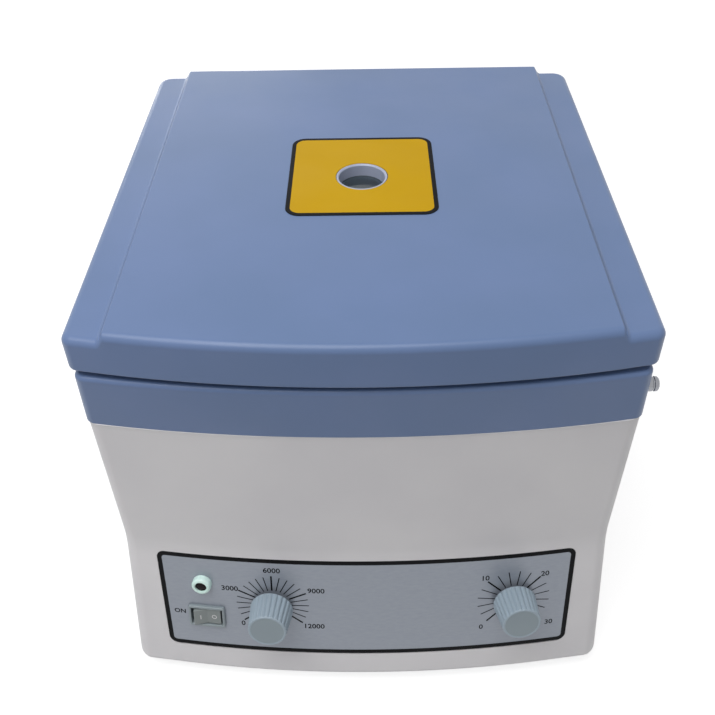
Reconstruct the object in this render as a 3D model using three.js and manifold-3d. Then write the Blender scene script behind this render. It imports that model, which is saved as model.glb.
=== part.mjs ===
// Hematocrit centrifuge: a bench instrument with a hinged lid over a spinning capillary rotor.
// Millimetres, x to the right, y to the back, z up. The floor is z = 0.
import * as THREE from 'three';
import { mergeVertices } from 'three/addons/utils/BufferGeometryUtils.js';
import Module from 'manifold-3d';

const wasm = await Module();
wasm.setup();

const degree = Math.PI / 180;

// Gaps shared by all pieces
const seat = 0.3; // between a piece and what carries it
const running = 0.4; // round a shaft or rod that moves
const overrun = 2; // how far a cutting solid runs past what it cuts

// Driving sizes of each piece
const lid = {
  width: 279,
  depth: 282, // from the line of the front corners to the back
  bow: 14.5, // how far the front bulges past its corners
  sideHeight: 19.4,
  wall: 3,
  frontCorner: 5,
  backCorner: 9,
  topEdge: 4,
  bottomEdge: 1.2,
  raisedInset: 22, // from the lid's side to the raised middle
  raisedHeight: 5,
  raisedCorner: 3,
  stepWidth: 4.5,
  gap: 3.6, // above the deck
  bossRadius: 5,
  bossInset: 32,
};
const liner = { recess: 0.8, thickness: 2.5, ridgeDrop: 1.3 };
const windowHole = { radius: 13, sleeveWall: 1.4, depth: 6.4, ledge: 1.8, glass: 2 };
const label = { width: 82.5, depth: 85.5, thickness: 0.4, corner: 8, shift: 2.5 };
const hinge = {
  inset: 54.5, // from the lid's side to the hinge's middle
  width: 45,
  plateHeight: 11,
  plate: 1.5,
  knuckle: 3.2,
  pin: 1.5,
  clearance: 0.6,
  knuckles: 5,
};
const deck = {
  inset: 0.6,
  bow: 12.3,
  height: 32.5,
  wall: 3,
  plate: 4,
  corner: 5,
  topEdge: 5,
  rim: 3,
  lipHeight: 5,
  lipWall: 2.4,
  bowlSeat: 2,
};
const lock = {
  pin: 3.8,
  tip: 2,
  proud: 5.2,
  headLength: 14.6,
  length: 18.6,
  chamfer: 0.9,
  fromCorner: 8,
  drop: 16, // below the deck's top
  bushWall: 1.2,
  bushLength: 8,
  bossWall: 2.5,
};
const keeper = {
  thickness: 2,
  width: 12,
  shift: 1.6, // towards the back, away from the deck's corner
  gap: 1, // from the pin's tip when the pin is out
  hole: 2.6,
  below: 7, // below the pin's axis
  clearance: 1.5,
  footWidth: 9,
};
const housing = {
  inset: 1.4,
  bow: 11.8,
  height: 190,
  wall: 3.5,
  corner: 8,
  waist: 93,
  crease: 7, // half the height over which the waist is rounded
  slope: 12 * degree, // of the front below the waist
  sideSlope: 2.1 * degree, // of the sides below the waist
  bottomEdge: 5,
};
const vents = { count: 9, width: 3, height: 36, pitch: 7, fromRight: 80.1, z: 78 };
const panel = {
  sideMargin: 18.6, // from the housing's side
  height: 72.1,
  corner: 6,
  thickness: 1,
  recess: 1,
  fromWaist: 2.7,
};
// On the panel, v is up the slope from its middle
const speedDial = { fromLeft: 64.9, v: 0.8 };
const timerDial = { fromRight: 34, v: 1.9 };
const knob = {
  base: 12.5,
  face: 11,
  height: 20,
  flutes: 24,
  fluteDepth: 0.7,
  edge: 0.9,
  gap: 2.6,
  shaft: 3,
  grip: 13, // how far the shaft reaches into the knob
  bushing: 4.6,
};
const speedControl = { radius: 12, depth: 13 };
const timerMovement = { radius: 24, depth: 28 };
const rocker = {
  fromLeft: 25.5,
  v: -10.5,
  flangeWidth: 21.8,
  flangeHeight: 15.6,
  flange: 2,
  flangeCorner: 1.2,
  bodyDepth: 15,
  wall: 1,
  pocketWidth: 16.8,
  pocketHeight: 11.8,
  pocketDepth: 9,
  length: 14.6,
  rise: 2.6,
  middleRise: 1,
  keel: 3.2,
  pivot: 1.2, // below the panel's face
  tilt: 9 * degree,
};
const lamp = {
  fromLeft: 25,
  v: 15,
  radius: 5.6,
  proud: 4.4,
  edge: 0.8,
  stem: 4.6,
  stemDepth: 14,
  lens: 3.1,
  sunk: 1.2,
};
const bowl = { rotorGap: 11, depth: 51, wall: 1.2, corner: 8, flange: 8, hole: 14, clearance: 1.3 };
const gasket = { width: 6, height: 3 };
const rotor = {
  radius: 100,
  lift: 13, // above the bowl's floor
  plate: 9,
  rim: 4,
  rimWall: 5,
  channelWidth: 2,
  channelDepth: 2.4,
  hub: 12,
  hubRise: 3,
  slots: 24,
  slotWidth: 2.2,
  slotDepth: 2.2,
  slotStart: 17,
};
const rotorCover = { inset: 10, thickness: 1.5 };
const rotorNut = { radius: 13, height: 14, flutes: 20, fluteDepth: 0.6, bore: 10 };
const shaft = { radius: 5, collar: 9, collarHeight: 5 };
const motor = {
  radius: 45,
  wall: 3,
  canHeight: 78,
  bellHeight: 14,
  bellFloor: 4,
  plateRadius: 66,
  plate: 3,
  plateHole: 20,
  bearing: 11,
  bearingHeight: 7,
  bearingLip: 1.5,
};
const field = { wall: 13, height: 48, lift: 8 };
const armature = { gap: 1.2, coilRadius: 20, coilHeight: 6, commutator: 13, commutatorHeight: 14 };
const brush = { width: 9, height: 11, proud: 7, gap: 0.5 };
const mount = { radius: 8, height: 22, circle: 55, count: 3, waistShare: 0.8 };
const basePlate = {
  thickness: 1.5,
  recess: 1, // above the housing's lower edge
  slots: 5,
  slotWidth: 4,
  slotLength: 46,
  slotPitch: 12,
  slotInset: 11.3, // from the plate's side
};
const foot = { radius: 11, taperShare: 0.86, height: 8.7, inset: 20, counterbore: 5.2, counterDepth: 5 };
const screw = { head: 4.2, headHeight: 2.6, shank: 2, reach: 14 };
const boss = { wall: 5, height: 30, rib: 4 };
const board = {
  fromSide: 10.6, // from the housing's inner faces
  fromBack: 58.35,
  width: 44,
  length: 60,
  thickness: 1.6,
  post: 3,
  postHeight: 6,
  postInset: 5,
};
const boardParts = { sinkWidth: 8, sinkHeight: 26, sinkLength: 36, capRadius: 8, capHeight: 24, inset: 8 };
const inlet = {
  fromLeft: 76.1,
  z: 82,
  width: 33,
  height: 46,
  flange: 2.5,
  corner: 3,
  bodyWidth: 28,
  bodyHeight: 40,
  bodyDepth: 26,
  socketWidth: 23,
  socketHeight: 16,
  socketDepth: 16,
  socketCorner: 4,
  bladeWidth: 2,
  bladeHeight: 4,
  bladeLength: 11,
  bladePitch: 7,
  bladeDrop: 2,
};
const fuseDrawer = {
  width: 23,
  height: 9,
  depth: 18,
  gap: 3, // below the socket
  lip: 1.2,
  pullWidth: 10,
  pullHeight: 2.5,
};

// How finely round shapes are divided
const fine = 36;
const medium = 20;
const coarse = 12;
const frontSteps = 14;
const cornerSteps = 3;
const edgeSteps = 3;

// Places that follow from the sizes, with the chamber's axis at x = 0, y = 0
const halfWidth = lid.width / 2;
const raisedHalf = halfWidth - lid.raisedInset;
const lidBack = (lid.depth + lid.bow) / 2;
const lidFront = lidBack - lid.depth;
const plateBottom = foot.height + seat;
const plateTop = plateBottom + basePlate.thickness;
const housingBottom = plateBottom - basePlate.recess;
const housingTop = housingBottom + housing.height;
const waistZ = housingBottom + housing.waist;
const deckBottom = housingTop + seat;
const deckTop = deckBottom + deck.height;
const lidBottom = deckTop + lid.gap;
const shelfTop = lidBottom + lid.sideHeight;
const lidTop = shelfTop + lid.raisedHeight;
const housingHalf = halfWidth - housing.inset;
const panelHalf = housingHalf - panel.sideMargin;
const housingFront = lidFront + housing.inset;
const housingBack = lidBack - housing.inset;
const bottomInset = housing.bottomEdge + housing.wall;
const linerBottom = lidBottom + liner.recess;
const linerTop = linerBottom + liner.thickness;
const sleeveRadius = windowHole.radius + windowHole.sleeveWall;
const bowlRadius = rotor.radius + bowl.rotorGap;
const bowlFlangeBottom = deckTop - deck.bowlSeat + seat;
const bowlFlangeTop = bowlFlangeBottom + bowl.wall;
const bowlFloor = bowlFlangeTop - bowl.depth;
const gasketTop = bowlFlangeTop + seat + gasket.height;
const rotorBottom = bowlFloor + rotor.lift;
const rotorTop = rotorBottom + rotor.plate;
const coverBottom = rotorTop + Math.max(rotor.hubRise, rotor.rim) + seat;
const nutBottom = coverBottom + rotorCover.thickness + seat;
const shaftTop = nutBottom + rotorNut.bore;
const motorPlateBottom = plateTop + seat + mount.height + seat;
const bellBottom = motorPlateBottom + motor.plate + seat;
const canBottom = bellBottom + motor.bellHeight + seat;
const canTop = canBottom + motor.canHeight;
const upperBellBottom = canTop + seat;
const upperBellTop = upperBellBottom + motor.bellHeight;
const hingeY = lidBack + hinge.knuckle + hinge.clearance;
const hingeZ = deckTop + lid.gap / 2;
const slopeRun = Math.tan(housing.slope);
const sideRun = Math.tan(housing.sideSlope);
const baseFront = housingFront - housing.waist * slopeRun;
const lockY = lidFront + lock.fromCorner;
const lockZ = deckTop - lock.drop;
const bushRight = halfWidth - deck.inset - deck.wall - seat;
const bushLeft = bushRight - lock.bushLength;
const bushRadius = lock.pin + running + lock.bushWall;
const speedSpot = { x: speedDial.fromLeft - panelHalf, v: speedDial.v };
const timerSpot = { x: panelHalf - timerDial.fromRight, v: timerDial.v };
const rockerSpot = { x: rocker.fromLeft - panelHalf, v: rocker.v };
const lampSpot = { x: lamp.fromLeft - panelHalf, v: lamp.v };

// Materials by finish
const finish = (color, roughness, metalness, opacity = 1) =>
  new THREE.MeshStandardMaterial({ color, roughness, metalness, opacity, transparent: opacity < 1 });
const materials = {
  blueAbs: finish('#7188b2', 0.42, 0),
  whiteAbs: finish('#c9c6c8', 0.45, 0),
  linerAbs: finish('#d5d6d6', 0.5, 0),
  yellowPlate: finish('#f2c21b', 0.4, 0),
  clearPlate: finish('#26323a', 0.08, 0, 0.5),
  panelFoil: finish('#8f99a5', 0.35, 0.3),
  knobPlastic: finish('#93a3b0', 0.5, 0),
  switchPlastic: finish('#7d8a8c', 0.4, 0),
  lampPlastic: finish('#cdeee6', 0.35, 0),
  darkLens: finish('#2a1b22', 0.15, 0),
  chrome: finish('#d8d8da', 0.12, 1),
  steel: finish('#b4b6b8', 0.35, 1),
  aluminium: finish('#c4c7ca', 0.4, 1),
  blackRubber: finish('#1d1e20', 0.85, 0),
  blackPlastic: finish('#1f2022', 0.5, 0),
  copper: finish('#9c5a2e', 0.5, 1),
  boardResin: finish('#2d6b45', 0.6, 0),
};

// Turns a closed three.js geometry into a solid that can be joined and cut
function solidOf(geometry) {
  geometry.deleteAttribute('normal');
  geometry.deleteAttribute('uv');
  const merged = mergeVertices(geometry);
  const position = merged.attributes.position;
  const corners = [];
  const a = new THREE.Vector3();
  const b = new THREE.Vector3();
  const c = new THREE.Vector3();
  let volume = 0;
  for (let i = 0; i < merged.index.count; i += 3) {
    const [p, q, r] = [0, 1, 2].map((k) => merged.index.getX(i + k));
    if (p === q || q === r || r === p) continue;
    corners.push(p, q, r);
    volume += a.fromBufferAttribute(position, p).dot(
      b.fromBufferAttribute(position, q).cross(c.fromBufferAttribute(position, r)),
    );
  }
  if (volume < 0) corners.reverse();
  return new wasm.Manifold(
    new wasm.Mesh({
      numProp: 3,
      vertProperties: new Float32Array(position.array),
      triVerts: new Uint32Array(corners),
    }),
  );
}

function geometryOf(solid) {
  const mesh = solid.getMesh();
  const geometry = new THREE.BufferGeometry();
  geometry.setAttribute('position', new THREE.BufferAttribute(mesh.vertProperties, 3));
  geometry.setIndex(new THREE.BufferAttribute(mesh.triVerts, 1));
  geometry.computeVertexNormals();
  return geometry;
}

const join = (first, ...others) => others.reduce((whole, one) => whole.add(one), first);
const cut = (first, ...others) => others.reduce((whole, one) => whole.subtract(one), first);

function rod(radius, bottom, top, sides = coarse, x = 0, y = 0) {
  const geometry = new THREE.CylinderGeometry(radius, radius, top - bottom, sides);
  return geometry.rotateX(Math.PI / 2).translate(x, y, (bottom + top) / 2);
}

function rodAlongX(radius, left, right, y, z, sides = coarse) {
  const geometry = new THREE.CylinderGeometry(radius, radius, right - left, sides);
  return geometry.rotateZ(Math.PI / 2).translate((left + right) / 2, y, z);
}

function block(left, right, front, back, bottom, top) {
  const geometry = new THREE.BoxGeometry(right - left, back - front, top - bottom);
  return geometry.translate((left + right) / 2, (front + back) / 2, (bottom + top) / 2);
}

// Turned solid about the z axis; the profile's points are radius and height, and it closes on itself
function turned(profile, sides) {
  const points = profile.map(([radius, height]) => new THREE.Vector2(radius, height));
  points.push(points[0].clone());
  return new THREE.LatheGeometry(points, sides).rotateX(Math.PI / 2);
}

function ring(inner, outer, bottom, top, sides) {
  return turned([[inner, bottom], [outer, bottom], [outer, top], [inner, top]], sides);
}

function roundedRectangle(width, height, corner) {
  const shape = new THREE.Shape();
  const x = width / 2;
  const y = height / 2;
  shape.moveTo(corner - x, -y);
  shape.lineTo(x - corner, -y);
  shape.absarc(x - corner, corner - y, corner, -Math.PI / 2, 0);
  shape.lineTo(x, y - corner);
  shape.absarc(x - corner, y - corner, corner, 0, Math.PI / 2);
  shape.lineTo(corner - x, y);
  shape.absarc(corner - x, y - corner, corner, Math.PI / 2, Math.PI);
  shape.lineTo(-x, corner - y);
  shape.absarc(corner - x, corner - y, corner, Math.PI, Math.PI * 1.5);
  return shape;
}

function prism(shape, bottom, top) {
  const geometry = new THREE.ExtrudeGeometry(shape, {
    depth: top - bottom,
    bevelEnabled: false,
    curveSegments: cornerSteps,
  });
  return geometry.translate(0, 0, bottom);
}

// Solid through a stack of outlines with equally many points; each has its own height
function loft(levels) {
  const count = levels[0].points.length;
  const positions = levels.flatMap(({ points, z }) => points.flatMap((p) => [p.x, p.y, z]));
  const index = [];
  for (let level = 0; level + 1 < levels.length; level += 1) {
    for (let i = 0; i < count; i += 1) {
      const next = (i + 1) % count;
      const low = level * count;
      const high = low + count;
      index.push(low + i, low + next, high + next, low + i, high + next, high + i);
    }
  }
  const last = (levels.length - 1) * count;
  for (const [p, q, r] of THREE.ShapeUtils.triangulateShape(levels[0].points, [])) {
    index.push(r, q, p);
  }
  for (const [p, q, r] of THREE.ShapeUtils.triangulateShape(levels.at(-1).points, [])) {
    index.push(last + p, last + q, last + r);
  }
  const geometry = new THREE.BufferGeometry();
  geometry.setAttribute('position', new THREE.Float32BufferAttribute(positions, 3));
  geometry.setIndex(index);
  return geometry;
}

const arcHandleShare = 0.5523; // Bezier handle that follows a quarter circle
const leastCornerShare = 0.25;

// Closed plan outline: flat back, straight sides, rounded corners and a front that bows out
function planOutline({ half, front, back, bow, bowHalf, frontCorner, backCorner }) {
  const startX = half - frontCorner;
  const startY = front - bow * (1 - (startX / bowHalf) ** 2);
  const rise = (2 * bow * startX) / bowHalf ** 2;
  const cornerY = startY + rise * frontCorner;
  const sideY = cornerY + frontCorner;
  const point = (x, y) => new THREE.Vector2(x, y);
  const corner = (from, at, to) =>
    new THREE.CubicBezierCurve(
      from,
      from.clone().lerp(at, arcHandleShare),
      to.clone().lerp(at, arcHandleShare),
      to,
    );
  const frontLeft = point(-startX, startY);
  const frontMiddle = point(0, startY - rise * startX);
  const frontRight = point(startX, startY);
  const curves = [
    [new THREE.QuadraticBezierCurve(frontLeft, frontMiddle, frontRight), frontSteps],
    [corner(frontRight, point(half, cornerY), point(half, sideY)), cornerSteps],
    [corner(point(half, back - backCorner), point(half, back), point(half - backCorner, back)), cornerSteps],
    [
      corner(point(backCorner - half, back), point(-half, back), point(-half, back - backCorner)),
      cornerSteps,
    ],
    [corner(point(-half, sideY), point(-half, cornerY), frontLeft), cornerSteps],
  ];
  const points = curves.flatMap(([curve, steps]) => curve.getPoints(steps));
  return points.filter((p, i) => p.distanceTo(points[(i + 1) % points.length]) > 0);
}

const roundInside = (corner, inset) => Math.max(corner - inset, corner * leastCornerShare);

// Rings that round the top edge of a wall, and its bottom edge
function roundedTop(ringAt, top, radius) {
  return Array.from({ length: edgeSteps + 1 }, (_, i) => {
    const angle = (i / edgeSteps) * (Math.PI / 2);
    return ringAt(radius * (1 - Math.cos(angle)), top - radius * (1 - Math.sin(angle)));
  });
}

function roundedBottom(ringAt, bottom, radius) {
  return Array.from({ length: edgeSteps + 1 }, (_, i) => {
    const angle = (i / edgeSteps) * (Math.PI / 2);
    return ringAt(radius * (1 - Math.sin(angle)), bottom + radius * (1 - Math.cos(angle)));
  });
}

function lidRing(inset, z) {
  const points = planOutline({
    half: halfWidth - inset,
    front: lidFront + inset,
    back: lidBack - inset,
    bow: lid.bow,
    bowHalf: halfWidth,
    frontCorner: roundInside(lid.frontCorner, inset),
    backCorner: roundInside(lid.backCorner, inset),
  });
  return { points, z };
}

// The raised middle of the lid widens down its sloping steps
function raisedRing(inset, z, sideInset = 0) {
  const down = THREE.MathUtils.clamp((lidTop - z) / lid.raisedHeight, 0, 1);
  const points = planOutline({
    half: raisedHalf + lid.stepWidth * down - sideInset,
    front: lidFront + inset,
    back: lidBack - inset,
    bow: lid.bow,
    bowHalf: halfWidth,
    frontCorner: lid.raisedCorner,
    backCorner: lid.raisedCorner,
  });
  return { points, z };
}

function deckRing(inset, z) {
  const own = deck.inset + inset;
  const points = planOutline({
    half: halfWidth - own,
    front: lidFront + own,
    back: lidBack - own,
    bow: deck.bow,
    bowHalf: halfWidth - deck.inset,
    frontCorner: roundInside(deck.corner, inset),
    backCorner: roundInside(deck.corner, inset),
  });
  return { points, z };
}

// Below the waist the front and the sides lean out towards the floor; the waist itself is a soft crease
function belowWaist(z) {
  const below = waistZ - z;
  if (below >= housing.crease) return below;
  if (below <= -housing.crease) return 0;
  return (below + housing.crease) ** 2 / (4 * housing.crease);
}

function housingRing(inset, z) {
  const points = planOutline({
    half: housingHalf + belowWaist(z) * sideRun - inset,
    front: housingFront + inset - belowWaist(z) * slopeRun,
    back: housingBack - inset,
    bow: housing.bow,
    bowHalf: housingHalf,
    frontCorner: roundInside(housing.corner, inset),
    backCorner: roundInside(housing.corner, inset),
  });
  return { points, z };
}

const root = new THREE.Group();
root.name = 'hematocrit_centrifuge';

function addPart(name, solid, material, parent = root) {
  const mesh = new THREE.Mesh(geometryOf(solid), material);
  mesh.name = name;
  parent.add(mesh);
}

// Lid shell: hollow from below, with four bosses that hold the liner
function makeLidShell() {
  const sides = solidOf(loft([
    ...roundedBottom(lidRing, lidBottom, lid.bottomEdge),
    ...roundedTop(lidRing, shelfTop, lid.topEdge),
  ]));
  const raised = solidOf(loft([
    raisedRing(0, shelfTop - lid.topEdge),
    raisedRing(0, shelfTop),
    ...roundedTop(raisedRing, lidTop, lid.topEdge),
  ]));
  const hollow = solidOf(loft([
    lidRing(lid.wall, lidBottom - overrun),
    lidRing(lid.wall, shelfTop - lid.wall),
  ]));
  const hollowRaised = solidOf(loft([
    raisedRing(lid.wall, shelfTop - lid.wall - overrun, lid.wall + lid.stepWidth),
    raisedRing(lid.wall, lidTop - lid.wall, lid.wall),
  ]));
  const shell = cut(join(sides, raised), hollow, hollowRaised);
  const bossX = raisedHalf - lid.bossInset;
  const bossY = lidBack - lid.bossInset;
  const bosses = [-1, 1].flatMap((sx) => [-1, 1].map((sy) =>
    solidOf(rod(lid.bossRadius, linerTop + seat, lidTop - lid.wall / 2, coarse, sx * bossX, sy * bossY))));
  const hole = solidOf(rod(sleeveRadius + seat, lidBottom - overrun, lidTop + overrun, medium));
  return cut(join(shell, ...bosses), hole);
}

function makeLiner() {
  const inset = lid.wall + seat;
  const plate = solidOf(loft([lidRing(inset, linerBottom), lidRing(inset, linerTop)]));
  const inner = bowlRadius + bowl.wall;
  const ridgeBottom = linerBottom - liner.ridgeDrop;
  const ridgeTop = linerBottom + liner.thickness / 2;
  const ridge = solidOf(ring(inner, inner + gasket.width, ridgeBottom, ridgeTop, fine));
  const hole = solidOf(rod(sleeveRadius + seat, ridgeBottom - overrun, linerTop + overrun, medium));
  return cut(join(plate, ridge), hole);
}

// Window: a sleeve through the lid with a ledge that carries the glass
const glassTop = lidTop - windowHole.depth;
const glassBottom = glassTop - windowHole.glass;

function makeWindowSleeve() {
  const ledgeRadius = windowHole.radius - windowHole.ledge;
  return solidOf(turned([
    [ledgeRadius, linerBottom],
    [sleeveRadius, linerBottom],
    [sleeveRadius, lidTop + label.thickness],
    [windowHole.radius, lidTop + label.thickness],
    [windowHole.radius, glassBottom - seat],
    [ledgeRadius, glassBottom - seat],
  ], medium));
}

function makeLabel() {
  const shape = roundedRectangle(label.width, label.depth, label.corner);
  const plate = prism(shape, lidTop, lidTop + label.thickness);
  const hole = rod(sleeveRadius + seat, lidTop - overrun, lidTop + overrun, medium);
  return cut(solidOf(plate.translate(0, label.shift, 0)), solidOf(hole));
}

// Keeper tongue: hangs from the liner into the deck, with a hole for the lock pin's tip
const keeperRight = halfWidth - deck.inset + lock.proud - lock.length - keeper.gap;
const keeperLeft = keeperRight - keeper.thickness;

const keeperFront = lockY + keeper.shift - keeper.width / 2;
const keeperBack = keeperFront + keeper.width;

function makeKeeper() {
  const front = keeperFront;
  const back = keeperBack;
  const top = linerBottom - seat;
  const footBottom = top - keeper.thickness;
  const tongue = block(keeperLeft, keeperRight, front, back, lockZ - keeper.below, top);
  const flange = block(keeperLeft - keeper.footWidth, keeperRight, front, back, footBottom, top);
  const hole = rodAlongX(keeper.hole, keeperLeft - overrun, keeperRight + overrun, lockY, lockZ);
  return cut(join(solidOf(tongue), solidOf(flange)), solidOf(hole));
}

// Hinge leaves: side +1 is the lid's, side -1 the body's; their knuckles take turns along the pin
function makeHingeLeaf(x, side, backFace) {
  const left = x - hinge.width / 2;
  const pitch = hinge.width / hinge.knuckles;
  const near = backFace + seat;
  const far = near + hinge.plate;
  const low = hinge.knuckle + hinge.clearance;
  const high = low + hinge.plateHeight;
  const between = (from, to) => (side > 0 ? [hingeZ + from, hingeZ + to] : [hingeZ - to, hingeZ - from]);
  let leaf = solidOf(block(left, left + hinge.width, near, far, ...between(low, high)));
  for (let i = 0; i < hinge.knuckles; i += 1) {
    const own = (i % 2 === 1) === (side > 0);
    if (!own) continue;
    const start = left + i * pitch + seat / 2;
    const end = start + pitch - seat;
    const barrel = solidOf(rodAlongX(hinge.knuckle, start, end, hingeY, hingeZ));
    const web = solidOf(block(start, end, near, far, ...between(0, low + hinge.plate)));
    leaf = join(leaf, barrel, web);
  }
  const bore = rodAlongX(hinge.pin + seat, left - overrun, left + hinge.width + overrun, hingeY, hingeZ);
  return cut(leaf, solidOf(bore));
}

// Top deck: skirt, top plate with the chamber's hole, and a lip that drops into the housing
function makeDeck() {
  const outside = solidOf(loft([deckRing(0, deckBottom), ...roundedTop(deckRing, deckTop, deck.topEdge)]));
  const lipOuter = housing.wall + seat;
  const lipInner = lipOuter + deck.lipWall;
  const rimTop = deckBottom + deck.rim;
  const lip = solidOf(loft([
    housingRing(lipOuter, deckBottom - deck.lipHeight),
    housingRing(lipOuter, deckBottom + deck.rim / 2),
  ]));
  const lipHollow = solidOf(loft([
    housingRing(lipInner, deckBottom - deck.lipHeight - overrun),
    housingRing(lipInner, rimTop + overrun),
  ]));
  const hollow = solidOf(loft([deckRing(deck.wall, rimTop), deckRing(deck.wall, deckTop - deck.plate)]));
  const holeRadius = bowlRadius + bowl.wall + bowl.clearance;
  const seatRadius = bowlRadius + bowl.wall + bowl.flange + seat;
  const hole = solidOf(rod(holeRadius, deckBottom, deckTop + overrun, fine));
  const bowlSeat = solidOf(rod(seatRadius, deckTop - deck.bowlSeat, deckTop + overrun, fine));
  const around = keeper.clearance;
  const slot = solidOf(block(
    keeperLeft - around,
    keeperRight + around,
    keeperFront - around,
    keeperBack + around,
    deckTop - deck.plate - overrun,
    deckTop + overrun,
  ));
  const holeLeft = bushLeft - overrun;
  const pinHole = solidOf(rodAlongX(lock.pin + running, holeLeft, halfWidth + overrun, lockY, lockZ));
  const bushHole = solidOf(rodAlongX(bushRadius + seat, holeLeft, bushRight + seat, lockY, lockZ, medium));
  const shell = cut(join(outside, lip), lipHollow, hollow, hole, bowlSeat, slot);
  return cut(join(shell, lockBoss().intersect(outside)), pinHole, bushHole);
}

// Boss in the deck's front right corner that holds the lock pin's bush
function lockBoss() {
  const around = bushRadius + seat + lock.bossWall;
  const front = lidFront - lid.bow;
  const top = deckTop - deck.plate / 2;
  return solidOf(block(bushLeft, halfWidth, front, lockY + around, lockZ - around, top));
}

// Lock pin: stands out of the deck's right side and slides in to the keeper
function makeLockPin() {
  const outer = halfWidth - deck.inset + lock.proud;
  const step = outer - lock.headLength;
  const profile = [
    [0, step],
    [lock.pin, step],
    [lock.pin, outer - lock.chamfer],
    [lock.pin - lock.chamfer, outer],
    [0, outer],
  ];
  const head = turned(profile, coarse).rotateY(Math.PI / 2).translate(0, lockY, lockZ);
  const tip = rodAlongX(lock.tip, outer - lock.length, step + lock.chamfer, lockY, lockZ);
  return join(solidOf(head), solidOf(tip));
}

function makeLockBush() {
  const tube = rodAlongX(bushRadius, bushLeft, bushRight, lockY, lockZ, medium);
  const bore = rodAlongX(lock.pin + running, bushLeft - overrun, bushRight + overrun, lockY, lockZ);
  return cut(solidOf(tube), solidOf(bore));
}

function makeBowl() {
  const { wall, corner, flange } = bowl;
  const radius = bowlRadius;
  const arc = (from, reach, low) => Array.from({ length: edgeSteps + 1 }, (_, i) => {
    const angle = (i / edgeSteps) * (Math.PI / 2);
    return [from + reach * Math.sin(angle), low + reach * (1 - Math.cos(angle))];
  });
  return solidOf(turned([
    [bowl.hole, bowlFloor - wall],
    ...arc(radius - corner, corner + wall, bowlFloor - wall),
    [radius + wall, bowlFlangeBottom],
    [radius + wall + flange, bowlFlangeBottom],
    [radius + wall + flange, bowlFlangeTop],
    [radius, bowlFlangeTop],
    ...arc(radius - corner, corner, bowlFloor).reverse(),
    [bowl.hole, bowlFloor],
  ], fine));
}

function makeGasket() {
  const inner = bowlRadius + bowl.wall;
  return solidOf(ring(inner, inner + gasket.width, bowlFlangeTop + seat, gasketTop, fine));
}

// Housing: wall all round, open at the top and the bottom
function makeHousing() {
  const outside = solidOf(loft([
    ...roundedBottom(housingRing, housingBottom, housing.bottomEdge),
    ...creaseHeights().map((z) => housingRing(0, z)),
    housingRing(0, housingTop),
  ]));
  const rimTop = plateTop + seat;
  const hollow = solidOf(loft([
    housingRing(bottomInset, housingBottom - overrun),
    housingRing(bottomInset, rimTop),
    housingRing(housing.wall, rimTop + housing.bottomEdge),
    ...creaseHeights().map((z) => housingRing(housing.wall, z)),
    housingRing(housing.wall, housingTop + overrun),
  ]));
  const shell = cut(outside, hollow, panelRecess(), ...controlHoles(), ...ventSlots(), inletHole());
  return cut(join(shell, ...footSpots.map(makeBoss)), ...footSpots.map(bossHole));
}

const creaseShares = [-1, -0.4, 0.4, 1];
const creaseHeights = () => creaseShares.map((share) => waistZ + share * housing.crease);

// Feet, bosses and screws share these places
const footX = housingHalf - bottomInset - foot.inset;
const footFront = baseFront + bottomInset + foot.inset;
const footBack = housingBack - bottomInset - foot.inset;
const footSpots = [
  { name: 'front_left', x: -footX, y: footFront },
  { name: 'front_right', x: footX, y: footFront },
  { name: 'rear_left', x: -footX, y: footBack },
  { name: 'rear_right', x: footX, y: footBack },
];
const bossRadius = screw.shank + seat + boss.wall;

function makeBoss({ x, y }) {
  const bottom = plateTop + seat;
  const top = bottom + boss.height;
  const post = solidOf(rod(bossRadius, bottom, top, coarse, x, y));
  const wallX = Math.sign(x) * (housingHalf + belowWaist(top) * sideRun - housing.wall / 2);
  const half = boss.rib / 2;
  const rib = block(Math.min(x, wallX), Math.max(x, wallX), y - half, y + half, bottom, top);
  return join(post, solidOf(rib));
}

function bossHole({ x, y }) {
  return solidOf(rod(screw.shank + seat, plateBottom, screwTop + seat, coarse, x, y));
}

const headBottom = foot.height - foot.counterDepth;
const screwTop = plateTop + screw.reach;

function ventSlots() {
  return Array.from({ length: vents.count }, (_, i) => {
    const x = housingHalf - vents.fromRight + (i - (vents.count - 1) / 2) * vents.pitch;
    return solidOf(block(
      x - vents.width / 2,
      x + vents.width / 2,
      housingBack - housing.wall - overrun,
      housingBack + overrun,
      vents.z - vents.height / 2,
      vents.z + vents.height / 2,
    ));
  });
}

// Control panel: a plate that follows the bowed and sloping front
const panelProud = seat + panel.thickness - panel.recess;
const panelMiddle = waistZ - panel.fromWaist - (panel.height / 2) * Math.cos(housing.slope);
const frontRadius = housingHalf ** 2 / (2 * housing.bow);

function frontY(x, z, outward) {
  const bulge = housing.bow * (1 - (x / housingHalf) ** 2);
  return housingFront - bulge - (waistZ - z) * slopeRun - outward / Math.cos(housing.slope);
}

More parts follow.
